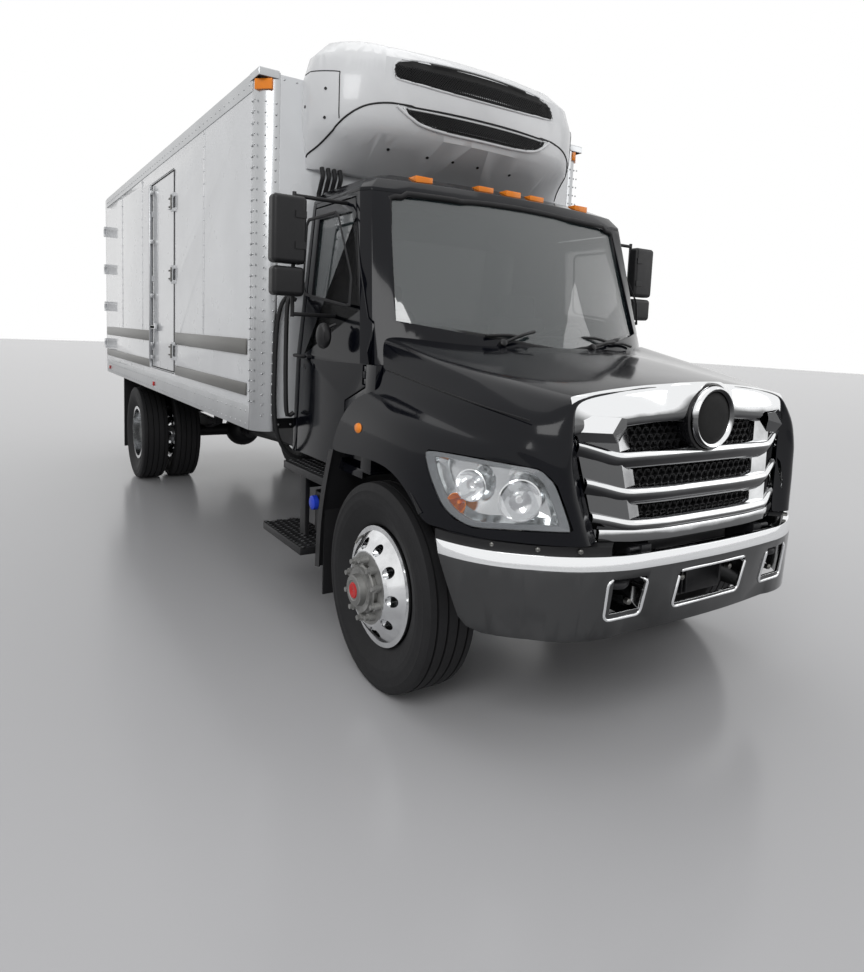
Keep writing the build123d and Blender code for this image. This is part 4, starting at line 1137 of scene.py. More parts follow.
@dataclass
class HeadLamps(SubAssembly):
    """Headlamp pair: crowned lens, grey border, fluted bucket, bowls and amber turn lamp."""

    body: str = "hood"
    outline: Sequence[Point] = ((1.123, -0.421, 1.242), (1.119, -0.438, 1.269), (1.071, -0.575, 1.272),
                                (1.025, -0.689, 1.269), (0.958, -0.801, 1.262), (0.886, -0.890, 1.252),
                                (0.855, -0.923, 1.222), (0.835, -0.944, 1.189), (0.805, -0.965, 1.106),
                                (0.779, -0.983, 1.018), (0.793, -0.973, 1.007), (0.871, -0.906, 1.003),
                                (0.961, -0.796, 0.993), (1.032, -0.674, 0.981), (1.066, -0.588, 1.002),
                                (1.091, -0.524, 1.046), (1.108, -0.473, 1.124), (1.117, -0.442, 1.184))
    crown: float = 0.058
    inward: Point = (-0.78, 0.62, 0.0)
    depth: float = 0.085

    def opening(self) -> Shape:
        """The closed form that the hood is cut by.

        Returns:
            A prism a side, a little larger than the lens.
        """
        shape = Shape()
        middle_y, middle_z = -0.72, 1.13
        longer, higher = 0.014, 0.035
        side = [(y + (y - middle_y) * longer, z + (z - middle_z) * higher) for _, y, z in self.outline]
        for low, high in ((0.70, 1.30), (-1.30, -0.70)):
            shape.prism(side, "x", low, high)
        return shape

    def loop(self, scale: float, sink: float = 0.0, bulge: float = 0.0) -> list[Vector]:
        """The outline drawn in towards its middle.

        Args:
            scale: 1 at the edge, 0 at the middle.
            sink: how far it lies behind the surface.
            bulge: how far the middle stands proud of the outline's plane.

        Returns:
            The points of one ring.
        """
        ring = through([*self.outline, self.outline[0]], 3)[:-1]
        centre = sum(ring, Vector()) / len(ring)
        out = -Vector(self.inward)
        return [centre + (p - centre) * scale + out * (bulge * (1 - scale * scale) - sink) for p in ring]

    def build(self) -> None:
        """Makes both lamps."""
        scales = (0.995, 0.97, 0.90, 0.78, 0.62, 0.45, 0.28, 0.12)
        lens = Shape().grid([self.loop(s, -0.002, self.crown) for s in scales], close=True)
        lens.mesh.faces.new(lens.mesh.verts[-len(self.loop(1)):])
        self.piece("headlamp_lens", lens.both(), Finish.LENS, "clear_glass", replaces=("headlamps",),
                   facing=(0, -1, 0), angle=60)
        border = Shape().grid([self.loop(s, sink, self.crown)
                               for s, sink in ((0.985, 0.004), (0.96, 0.006), (0.865, 0.012), (0.845, 0.018),
                                               (0.845, 0.03))], close=True)
        self.piece("headlamp_border", border.both(), Finish.LAMP_GREY, "chrome", facing=(0, -1, 0), angle=25)
        bucket = Shape().grid([self.loop(s, sink, self.crown * 0.9) for s, sink in
                               ((0.86, 0.018), (0.82, 0.05), (0.72, self.depth), (0.4, self.depth + 0.012),
                                (0.1, self.depth + 0.016))], close=True)
        bucket.mesh.faces.new(bucket.mesh.verts[-len(self.loop(1)):])
        self.piece("headlamp_bucket", bucket.both(), Finish.REFLECTOR, "chrome", facing=(0, -1, 0), angle=25)
        bowls, amber = Shape(), Shape()
        for side in (-1, 1):
            self.bowl(bowls, (side * 0.925, -0.835, 1.118), (side * 0.55, -0.84, 0.0), 0.082)
            self.bowl(bowls, (side * 1.030, -0.640, 1.150), (side * 0.85, -0.53, 0.0), 0.064)
            self.bowl(amber, (side * 1.052, -0.575, 1.062), (side * 0.88, -0.47, 0.0), 0.042)
        self.piece("headlamp_bowls", bowls, Finish.CHROME_PLAIN, "chrome", angle=30)
        self.piece("turn_lamps", amber, Finish.AMBER, "amber_lens", angle=30)

    def bowl(self, shape: Shape, centre: Point, aim: Point, radius: float) -> None:
        """Adds one reflector bowl with its bulb shield.

        Args:
            shape: receives the bowl.
            centre: the middle of its rim.
            aim: direction that it faces.
            radius: its radius.
        """
        along = Vector(aim).normalized()
        side = along.cross(Vector((0, 0, 1))).normalized()
        up = side.cross(along)
        rows, steps = [], 32
        for level, size in ((0.004, 1.08), (0.006, 1.02), (0.0, 0.98), (-0.02, 0.86), (-0.04, 0.62),
                            (-0.052, 0.34), (-0.055, 0.2), (-0.02, 0.2), (-0.016, 0.14)):
            row = []
            for step in range(steps):
                turn = 2 * math.pi * step / steps
                out = (side * math.cos(turn) + up * math.sin(turn)) * size * radius
                row.append(tuple(Vector(centre) + along * level + out))
            rows.append(row)
        shape.grid(rows, close=True)
        shape.mesh.verts.ensure_lookup_table()
        shape.mesh.faces.new(shape.mesh.verts[-steps:])


@dataclass
class Grille(SubAssembly):
    """Plated grille: top band with a hump over the ring, three bars, corner facets, mesh and ring."""

    body: str = "hood"
    reach: float = 0.742
    band_steps: int = 64
    hump_reach: float = 0.165
    hump_depth: float = 0.070
    hump_rise: float = 0.012
    ring_centre: Point = (0.0, -1.030, 1.452)
    bars: Sequence[tuple[float, ...]] = (
        # corner x, y and z, then crease x, y and z, then the middle's y and z
        (0.706, -0.928, 1.338, 0.530, -0.996, 1.288, -1.020, 1.290),
        (0.668, -0.948, 1.182, 0.490, -1.016, 1.136, -1.038, 1.134),
        (0.640, -0.966, 1.040, 0.474, -1.034, 1.004, -1.054, 1.000))

    def line(self, bar: Sequence[float]) -> list[Vector]:
        """Nose line of one bar.

        Args:
            bar: its numbers, as in bars.

        Returns:
            The line's points, from corner to corner.
        """
        corner, crease = Vector(bar[0:3]), Vector(bar[3:6])
        middle = Vector((0.0, bar[6], bar[7]))
        half = [middle, Vector((0.26, middle.y + 0.004, middle.z)), crease + Vector((-0.05, -0.006, 0.0)),
                crease.lerp(corner, 0.10), crease.lerp(corner, 0.55), corner]
        dense = through(half, 3)
        return [Vector((-p.x, p.y, p.z)) for p in reversed(dense[1:])] + dense

    def build(self) -> None:
        """Makes the plated parts, the mesh and the ring."""
        bars = Shape()
        section = ((0.060, 0.036), (0.022, 0.031), (0.007, 0.023), (0.0, 0.011), (0.0, 0.0), (0.004, -0.010),
                   (0.014, -0.034), (0.026, -0.050), (0.060, -0.058))
        for bar in self.bars:
            nose = self.line(bar)
            bars.grid([[(p.x, p.y + back, p.z + up) for p in nose] for back, up in section])
        foot = self.line((0.612, -0.980, 0.948, 0.458, -1.042, 0.944, -1.062, 0.940))
        bars.grid([[(p.x, p.y + back, p.z + up) for p in foot]
                   for back, up in ((0.02, 0.052), (0.004, 0.048), (0.0, 0.040), (0.004, 0.0),
                                    (0.016, -0.006), (0.05, -0.008))])
        self.piece("grille_bars", bars, Finish.CHROME, "chrome", replaces=("grille",), thick=0.004,
                   facing=(0, -1, 0.2), angle=40)
        self.band()
        self.corners()
        self.mesh_panel()
        self.ring()

    def band(self) -> None:
        """Top band, which is high and smooth and bulges up over the ring."""
        rows = []
        for back, up, swell in ((0.018, 0.0, 1.0), (-0.010, -0.010, 1.0), (-0.026, -0.040, 0.9),
                                (-0.044, -0.085, 0.5), (-0.052, -0.125, 0.25), (-0.050, -0.150, 0.15),
                                (-0.036, -0.168, 0.0), (-0.005, -0.176, 0.0), (0.03, -0.178, 0.0)):
            row = []
            for step in range(self.band_steps + 1):
                x = -self.reach + 2 * self.reach * step / self.band_steps
                share = abs(x) / self.reach
                top = 1.598 - 0.058 * share ** 2.2
                hump = math.exp(-(x / self.hump_reach) ** 4)
                y = -0.940 + 0.040 * share ** 2.6
                y -= self.hump_depth * hump * (0.45 + 0.55 * swell)
                height = top + up * (1.0 - 0.05 * share) + hump * self.hump_rise * swell
                row.append((x, y + back * (1 - 0.6 * share ** 6), height))
            rows.append(row)
        self.piece("grille_band", Shape().grid(rows), Finish.CHROME, "chrome", thick=0.004, levels=1,
                   facing=(0, -1, 0), angle=40)

    def corners(self) -> None:
        """Corner panels between the bars, and the faceted blocks under the band's ends."""
        outer = ((0.728, -0.910, 1.440), (0.712, -0.920, 1.372), (0.700, -0.926, 1.320),
                 (0.660, -0.945, 1.160), (0.628, -0.962, 1.020), (0.608, -0.972, 0.950))
        shape = Shape()
        rows = []
        for x, y, z in outer:
            fall = 1.44 - z
            crease = 0.545 - 0.17 * fall
            front = -0.966 - 0.125 * fall
            rows.append([(x, y + 0.012, z), ((x + crease) / 2 + 0.01, (y + front) / 2 + 0.008, z),
                         (crease, front, z - 0.004), (crease - 0.085, front + 0.022, z - 0.008),
                         (crease - 0.10, front + 0.085, z - 0.010)])
        shape.grid(rows)
        block = [[(0.736, -0.905, 1.470), (0.545, -0.996, 1.462), (0.500, -0.985, 1.455)],
                 [(0.722, -0.918, 1.400), (0.60, -1.004, 1.400), (0.505, -0.990, 1.420)],
                 [(0.708, -0.928, 1.362), (0.56, -0.996, 1.358), (0.520, -0.972, 1.362)],
                 [(0.700, -0.900, 1.352), (0.56, -0.950, 1.350), (0.520, -0.940, 1.356)]]
        shape.grid(block)
        self.piece("grille_corners", shape.both(), Finish.CHROME, "chrome", thick=0.003, facing=(0, -1, 0),
                   angle=12)

    def mesh_panel(self) -> None:
        """Black panel of open six-sided cells behind the bars."""
        cells, places = Shape(), []
        radius, row_pitch, half_width = 0.026, 0.030, 0.60
        for row in range(16):
            z = 0.965 + row * row_pitch
            for column in range(-13, 14):
                x = column * radius * 1.75 + (radius * 0.875 if row % 2 else 0.0)
                if abs(x) < half_width:
                    places.append((x, -0.945 - (1.35 - z) * 0.13 + 0.05 * (abs(x) / half_width) ** 3, z))
        cells.hexes(places, radius, 0.022, 0.0035, (0, 1, 0))
        self.piece("grille_mesh", cells, Finish.BLACK_PLASTIC, "black_plastic", angle=20)
        back = Shape().grid([[(x, -0.895 - (1.35 - z) * 0.13 + 0.05 * (abs(x) / half_width) ** 3, z)
                              for x in (-0.66, -0.45, -0.2, 0.0, 0.2, 0.45, 0.66)] for z in (0.93, 1.2, 1.5)])
        self.piece("grille_back", back, Finish.BLACK_PLASTIC, "black_plastic", thick=0.004, facing=(0, -1, 0))
        screen = Shape().box((-0.35, 0.19), (-1.015, -1.005), (0.885, 0.955))
        self.piece("grille_foot_panel", screen, Finish.BLACK_PLASTIC, "black_plastic", bevel=0.003)

    def ring(self) -> None:
        """Plain ring, dished disc and black collar in the middle of the top band."""
        ring = ((0.028, 0.136), (0.0, 0.142), (-0.014, 0.139), (-0.022, 0.130), (-0.020, 0.121),
                (-0.008, 0.114), (0.012, 0.110))
        disc = ((-0.017, 0.0), (-0.016, 0.06), (-0.014, 0.095), (-0.006, 0.113), (0.020, 0.113))
        collar = ((0.070, 0.150), (0.030, 0.155), (0.010, 0.154), (0.004, 0.146), (0.012, 0.136),
                  (0.03, 0.130))
        for name, profile, finish, slot in (("ring", ring, Finish.CHROME, "chrome"),
                                            ("ring_disc", disc, Finish.VENT_BLACK, "vent_black"),
                                            ("ring_collar", collar, Finish.GLOSS_BLACK, "vent_black")):
            self.piece(name, Shape().lathe(profile, self.ring_centre, "y", 72), finish, slot, angle=50)


@dataclass
class FrontBumper(SubAssembly):
    """Plated bumper with rimmed openings, tow hooks, bolts and the strip under the headlamps."""

    openings: Sequence[tuple[float, float]] = ((-0.625, -0.425), (-0.235, 0.235), (0.425, 0.625))
    deepest: float = -0.98
    rounding: float = 0.028
    opening_top: float = 0.808
    opening_foot: float = 0.632

    def face_point(self, skin: Skin, x: float, z: float) -> Point:
        """Point of the bumper's front face.

        Args:
            skin: the bumper's surface.
            x: how far the point is to the side.
            z: its height.

        Returns:
            The point, from the face's curve where an opening leaves nothing in front of deepest.
        """
        hit = skin.tree.ray_cast(at(x, -1.5, z), Vector((0, 1, 0)))[0]
        if hit is None or hit.y - AXLE_Y > self.deepest:
            return (x, -1.108 + 0.10 * (x / 0.65) ** 2 + (0.905 - z) * 0.14, z)
        return (x, hit.y - AXLE_Y, z)

    def build(self) -> None:
        """Dresses the bumper and adds what is fixed to it."""
        self.softened("bumper", Finish.BUMPER_CHROME, "chrome", bevel=0.008, angle=35, segments=3)
        skin = Skin("bumper")
        rims = Shape()
        for left, right in self.openings:
            laid, radius = [], self.rounding
            high, low = self.opening_top - radius, self.opening_foot + radius
            for x, z, start in ((right - radius, high, 0.0), (left + radius, high, 0.5),
                                (left + radius, low, 1.0), (right - radius, low, 1.5)):
                for step in range(5):
                    turn = math.pi * (start + step / 8)
                    laid.append(self.face_point(skin, x + radius * math.cos(turn),
                                                z + radius * math.sin(turn)))
            rims.tube([*laid, laid[0], laid[1]], 0.007, 10)
        self.piece("bumper_rims", rims, Finish.CHROME_PLAIN, "chrome", angle=60)
        bolts = Shape()
        for side in (-1, 1):
            for x, y, z in ((0.72, -0.985, 0.925), (0.86, -0.885, 0.925), (0.985, -0.745, 0.925)):
                bolts.rod((side * x, y, z), (side * (x + 0.01), y - 0.014, z), 0.011, 6, 0.4)
            for x, y, z in ((0.50, -1.045, 0.70), (0.17, -1.05, 0.755)):
                bolts.rod((side * x, y, z), (side * x, y - 0.02, z), 0.014, 6, 0.5)
        self.piece("bumper_bolts", bolts, Finish.STEEL, "steel_strip", angle=30)
        strip = Shape()
        line = through([(0.60, -1.045, 0), (0.742, -0.975, 0), (0.896, -0.872, 0), (1.014, -0.735, 0),
                        (1.085, -0.60, 0), (1.105, -0.50, 0)], 4)
        strip.grid([[(p.x, p.y, z) for p in line] for z in (0.880, 0.940)])
        strip.grid([[(p.x, p.y, 0.940) for p in line], [(p.x - 0.05, p.y + 0.04, 0.944) for p in line]])
        self.piece("bumper_strip", strip.both(), Finish.BLACK_PLASTIC, "black_plastic", thick=0.004,
                   weld=True, facing=(0, -1, 0), angle=25)
        hooks = Shape()
        for side in (-1, 1):
            hooks.tube([(side * 0.46, -0.90, 0.77), (side * 0.47, -1.00, 0.775), (side * 0.53, -1.045, 0.772),
                        (side * 0.585, -1.00, 0.772), (side * 0.59, -0.90, 0.77)], 0.019, 14, 24)
            hooks.box((side * 0.53 - 0.10, side * 0.53 + 0.10), (-0.90, -0.86), (0.66, 0.86))
        hooks.box((-0.24, 0.24), (-0.97, -0.95), (0.62, 0.84))
        for x in (-0.15, -0.12, -0.09, -0.06, -0.03):
            hooks.box((x, x + 0.012), (-0.985, -0.965), (0.63, 0.75))
        self.piece("tow_hooks", hooks, Finish.CHASSIS, "chassis_black", bevel=0.003, angle=40)


@dataclass
class Tyre(SubAssembly):
    """Ribbed truck tyre turned from one section, mirrored with its side of the truck."""

    node: str = "front_tyre_right"
    tyres: Sequence[tuple[float, float]] = ((0.0, 1.0),)
    steps: int = 96
    drawn_radius: float = 0.518
    sidewall_radius: float = 0.45
    grooves: Sequence[float] = (0.30, 0.10)

    def build(self) -> None:
        """Makes the tyres of one body from the CAD node's box."""
        low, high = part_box(self.node)
        centre = (low + high) / 2
        outer, inner = (low.x, high.x) if centre.x < 0 else (high.x, low.x)
        shape = Shape()
        for start, end in self.tyres:
            first, last = (outer + (inner - outer) * share for share in (start, end))
            self.section(shape, first, last, (high.z - low.z) / 2, centre)
        self.piece(self.node + "_ribbed", shape, Finish.TYRE, "tyre", replaces=(self.node,), angle=32)

    def section(self, shape: Shape, first: float, last: float, radius: float, centre: Vector) -> None:
        """Adds one tyre.

        Args:
            shape: receives the tyre.
            first: x of its outer side.
            last: x of its inner side.
            radius: its radius.
            centre: the wheel set's centre.
        """
        width = abs(last - first)
        half = [(0.235, 0.292), (0.30, 0.300), (0.345, 0.318), (0.352, 0.322), (0.42, 0.36), (0.470, 0.40),
                (0.4755, 0.404), (0.4755, 0.412), (0.493, 0.425), (0.495, 0.44), (0.478, 0.470),
                (0.483, 0.474), (0.478, 0.479), (0.462, 0.493), (0.452, 0.503), (0.425, 0.5125)]
        for place in self.grooves:
            half += [(place + 0.020, 0.5165), (place + 0.016, 0.503),
                     (place - 0.016, 0.503), (place - 0.020, 0.517)]
        scale = radius / self.drawn_radius
        sign = 1 if last > first else -1
        profile = []
        for along, size in half + [(-along, size) for along, size in reversed(half)]:
            grown = radius - (self.drawn_radius - size) if size > self.sidewall_radius else size * scale
            profile.append((sign * along * width, grown))
        shape.lathe(profile, ((first + last) / 2, centre.y - AXLE_Y, centre.z), "x", self.steps, close=True)


@dataclass
class Wheel(SubAssembly):
    """What is added to a front wheel: the hub's cap with its flange bolts and disc, and the valve."""

    node: str = "front_wheel_right"

    def build(self) -> None:
        """Makes them, facing outwards on either side."""
        low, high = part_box(self.node)
        centre = (low + high) / 2
        out, nose = (-1.0, low.x) if centre.x < 0 else (1.0, high.x)
        y, z = centre.y - AXLE_Y, centre.z
        hub = Shape()
        profile = [(-0.075, 0.112), (-0.068, 0.118), (-0.052, 0.118), (-0.046, 0.112), (-0.040, 0.080),
                   (-0.004, 0.074), (0.002, 0.068), (0.004, 0.050), (0.001, 0.046)]
        hub.lathe([(out * along, radius) for along, radius in profile], (nose, y, z), "x", 48)
        for index in range(8):
            turn = 2 * math.pi * (index + 0.5) / 8
            spot = (nose + out * -0.045, y + 0.096 * math.cos(turn), z + 0.096 * math.sin(turn))
            hub.rod(spot, (spot[0] + out * 0.014, spot[1], spot[2]), 0.010, 6, 0.2)
        self.piece(self.node + "_cap", hub, Finish.HUB_GREY, "chassis_black", angle=35)
        disc = Shape().lathe([(0.0, 0.0), (out * 0.006, 0.020), (out * 0.005, 0.036), (out * -0.002, 0.042)],
                             (nose, y, z), "x", 36)
        self.piece(self.node + "_cap_disc", disc, Finish.RED, "red_lens", angle=40)
        valve = Shape().tube([(nose - out * 0.10, y + 0.10, z + 0.235),
                              (nose - out * 0.075, y + 0.10, z + 0.225),
                              (nose - out * 0.055, y + 0.10, z + 0.20)], 0.006, 8, 6)
        self.piece(self.node + "_valve", valve, Finish.STEEL, "steel_strip", angle=40)


@dataclass
class Axles:
    """All the truck's tyres and wheels."""

    twin_share: float = 0.4507    # one tyre's part of a twin pair's width

    def build(self) -> None:
        """Makes them for both sides."""
        twins = ((0.0, self.twin_share), (1.0 - self.twin_share, 1.0))
        for label in ("left", "right"):
            Tyre(f"front_wheel_{label}", f"front_tyre_{label}").build()
            Wheel(f"front_wheel_{label}", f"front_wheel_{label}").build()
            Tyre(f"rear_wheels_{label}", f"rear_tyres_{label}", twins).build()


@dataclass
class Cab(SubAssembly):
    """Cab skin, doors, glass trim, mirrors, steps, wipers, lamps and cabin."""

    rubber_rounding: float = 0.06
    mirror_x: float = 1.30
    cup_pitch: float = 0.044

    def build(self) -> None:
        """Makes every part of the cab."""
        for node in ("cab_front", "cab_back", "cab_roof", "cab_floor"):
            self.softened(node, Finish.BLACK_PAINT, "black_paint", bevel=0.012, angle=22, segments=3)
        for label, side in (("left", 1), ("right", -1)):
            body = f"cab_door_{label}"
            self.softened(body, Finish.BLACK_PAINT, "black_paint", body, bevel=0.008, angle=22, segments=3)
            self.softened(f"mirror_{label}", Finish.BLACK_PLASTIC, "black_plastic", body, bevel=0.006,
                          angle=30)
            self.door_trim(side, body, label)
            self.mirror_trim(side, body)
        self.windshield_trim()
        self.wipers()
        self.softened("marker_lamps", Finish.AMBER, "amber_lens", bevel=0.006, segments=3)
        self.steps()
        self.cabin()

    def door_trim(self, side: int, body: str, label: str) -> None:
        """Makes the window rubber, handle, lock and grab bar of one door.

        Args:
            side: 1 for the driver's side, -1 for the other.
            body: the door's body.
            label: left or right.
        """
        loop = [Vector(p) for p in ((1.094, 0.405, 1.885), (1.094, 1.060, 1.968), (1.074, 1.062, 2.415),
                                    (1.073, 0.630, 2.415), (1.083, 0.415, 2.05))]
        corners = []
        for before, point, after in zip([loop[-1], *loop], loop, [*loop[1:], loop[0]]):
            corners += [point.lerp(before, self.rubber_rounding), point.lerp(after, self.rubber_rounding)]
        centre = sum(corners, Vector()) / len(corners)
        rows = []
        for out, spread in ((0.004, 0.0), (0.010, 0.006), (0.010, 0.020), (0.002, 0.026)):
            rows.append([(side * (p.x + out), (p.y - centre.y) * (1 - spread * 2.2) + centre.y,
                          (p.z - centre.z) * (1 - spread * 2.8) + centre.z) for p in corners])
        self.piece(f"{body}_rubber", Shape().grid(rows, close=True), Finish.RUBBER, "black_rubber", body,
                   angle=40)
        handle = Shape()
        handle.tube([(side * 1.100, 1.005, 1.605), (side * 1.128, 1.015, 1.605), (side * 1.130, 1.085, 1.608),
                     (side * 1.104, 1.100, 1.608)], 0.010, 10, 12)
        handle.lathe([(0.0, 0.0), (0.006 * side, 0.014), (0.002 * side, 0.018)], (side * 1.100, 0.985, 1.545),
                     "x", 20)
        self.piece(f"{body}_handle", handle, Finish.BLACK_PLASTIC, "black_plastic", body, angle=40)
        grab = Shape().tube([(side * 1.098, 1.160, 1.25), (side * 1.145, 1.165, 1.28),
                             (side * 1.148, 1.168, 1.90), (side * 1.095, 1.165, 1.94)], 0.014, 12, 30)
        self.piece(f"grab_bar_{label}", grab, Finish.BLACK_PLASTIC, "black_plastic", "chassis", angle=40)

    def mirror_trim(self, side: int, body: str) -> None:
        """Makes the glass faces and brackets of one mirror, and the look-down mirror on the door.

        Args:
            side: 1 for the driver's side, -1 for the other.
            body: the door's body.
        """
        glass = Shape()
        for low, high in ((2.125, 2.435), (1.955, 2.072)):
            glass.box((1.285, 1.425) if side > 0 else (-1.425, -1.285), (0.688, 0.693), (low, high))
        self.piece(f"{body}_mirror_glass", glass, Finish.MIRROR, "chrome", body, bevel=0.002)
        trim = Shape()
        x = side * self.mirror_x
        trim.rod((x, 0.642, 2.455), (x, 0.642, 2.105), 0.010, 10)
        for z in (2.36, 2.20):
            trim.box((x - 0.03, x + 0.03), (0.594, 0.604), (z - 0.018, z + 0.018))
        trim.tube([(side * 1.105, 0.56, 1.80), (side * 1.14, 0.57, 1.78), (side * 1.16, 0.58, 1.745)],
                  0.008, 8, 8)
        rows = []
        for level, width, height in ((-0.045, 0.03, 0.05), (-0.03, 0.055, 0.085), (0.0, 0.062, 0.095),
                                     (0.02, 0.060, 0.092)):
            rows.append([(side * 1.165 + width * math.cos(t) * 0.6, 0.585 + level,
                          1.735 + height * math.sin(t) * 0.75)
                         for t in [2 * math.pi * i / 20 for i in range(20)]])
        trim.grid(rows, close=True, cap=True)
        self.piece(f"{body}_mirror_trim", trim, Finish.BLACK_PLASTIC, "black_plastic", body, angle=40)

    def windshield_trim(self) -> None:
        """Makes the rubber round the windshield."""
        skin = Skin("windshield", "cab_front")
        half = [(0.0, -0.07, 1.695), (0.45, 0.05, 1.760), (0.80, 0.24, 1.818), (0.900, 0.33, 1.850),
                (0.908, 0.36, 1.92), (0.872, 0.45, 2.36), (0.852, 0.48, 2.47), (0.80, 0.47, 2.508),
                (0.45, 0.42, 2.526), (0.0, 0.40, 2.538)]
        edge = skin.along([*mirrored(half), half[0]], 140, 0.002)
        rubber = Shape().tube([*edge, edge[1]], 0.017, 10)
        self.piece("windshield_rubber", rubber, Finish.RUBBER, "black_rubber", angle=60)

    def wipers(self) -> None:
        """Makes two wiper arms and blades that rest on the foot of the windshield."""
        skin = Skin("windshield", "cab_front")
        shape, thickness, half_blade = Shape(), 0.009, 0.30
        for pivot, tip in (((-0.42, -0.05, 1.75), (-0.20, 0.0, 1.79)),
                           ((0.20, -0.08, 1.74), (0.42, 0.0, 1.79))):
            shape.rod(skin.on(pivot), skin.on(pivot, 0.035), 0.020, 16, 0.3)
            base, end = Vector(skin.on(pivot, 0.02)), Vector(skin.on(tip, 0.035))
            bow = (base + end) / 2 + Vector((0, -0.015, 0.01))
            shape.tube([tuple(base), tuple(bow), tuple(end)], thickness, 8, 10)
            blade = [skin.on((tip[0] + step * half_blade, tip[1], tip[2] - 0.012 + 0.008 * abs(step)), 0.016)
                     for step in (-1, -0.5, 0, 0.5, 1)]
            shape.tube(blade, thickness, 8, 16)
        self.piece("wipers", shape, Finish.BLACK_PLASTIC, "black_plastic", angle=40)

    def steps(self) -> None:
        """Makes the steps with rows of cups and bright studs on their treads."""
        self.softened("cab_steps", Finish.BLACK_PLASTIC, "black_plastic", bevel=0.004, angle=40)
        tree = Skin("cab_steps").tree
        dots, rims = Shape(), Shape()
        for side in (-1, 1):
            for column in range(7):
                for row in range(18):
                    x = side * (1.180 - column * self.cup_pitch)
                    y = 0.640 + row * self.cup_pitch + self.cup_pitch / 2 * (column % 2)
                    top = 1.2
                    while True:
                        hit, normal, _, _ = tree.ray_cast(at(x, y, top), Vector((0, 0, -1)))
                        if hit is None:
                            break
                        if normal.z > 0.9:
                            rims.rod((x, y, hit.z - 0.001), (x, y, hit.z + 0.003), 0.0165, 10)
                            dots.rod((x, y, hit.z), (x, y, hit.z + 0.0045), 0.0105, 8)
                        top = hit.z - 0.003
        self.piece("step_cups", rims, Finish.BLACK_PLASTIC, "black_plastic", angle=40)
        self.piece("step_studs", dots, Finish.POLISHED, "polished_aluminium", angle=40)

    def cabin(self) -> None:
        """Makes the seats, dashboard and steering wheel."""
        for x, label in ((0.56, "driver"), (-0.56, "passenger")):
            parts = (("base", (x, 0.850, 1.395), (0.250, 0.200, 0.064), 0.0),
                     ("back", (x, 1.050, 1.690), (0.235, 0.058, 0.230), 0.06),
                     ("head", (x, 1.062, 1.985), (0.13, 0.045, 0.085), 0.03))
            for part, centre, half, lean in parts:
                name = f"seat_{part}_{label}"
                pad = self.piece(name, cushion(centre, half, lean), Finish.SEAT, "seat_fabric", angle=60,
                                 replaces=("seats",) if name == "seat_base_driver" else ())
            frame_work = Shape().box((x - 0.20, x + 0.20), (0.68, 1.04), (1.068, 1.12))
            frame_work.box((x - 0.17, x + 0.17), (0.72, 1.00), (1.12, 1.335))
            for post in (x - 0.06, x + 0.06):
                frame_work.rod((post, 1.062, 1.88), (post, 1.062, 1.96), 0.008, 10)
            self.piece(f"seat_frame_{label}", frame_work, Finish.TRIM, "black_plastic", bevel=0.008)
        self.softened("dashboard", Finish.TRIM, "black_plastic", bevel=0.02, angle=40, segments=4)
        self.softened("steering_wheel", Finish.BLACK_PLASTIC, "black_plastic", "steering_wheel", bevel=0.005,
                      angle=50)


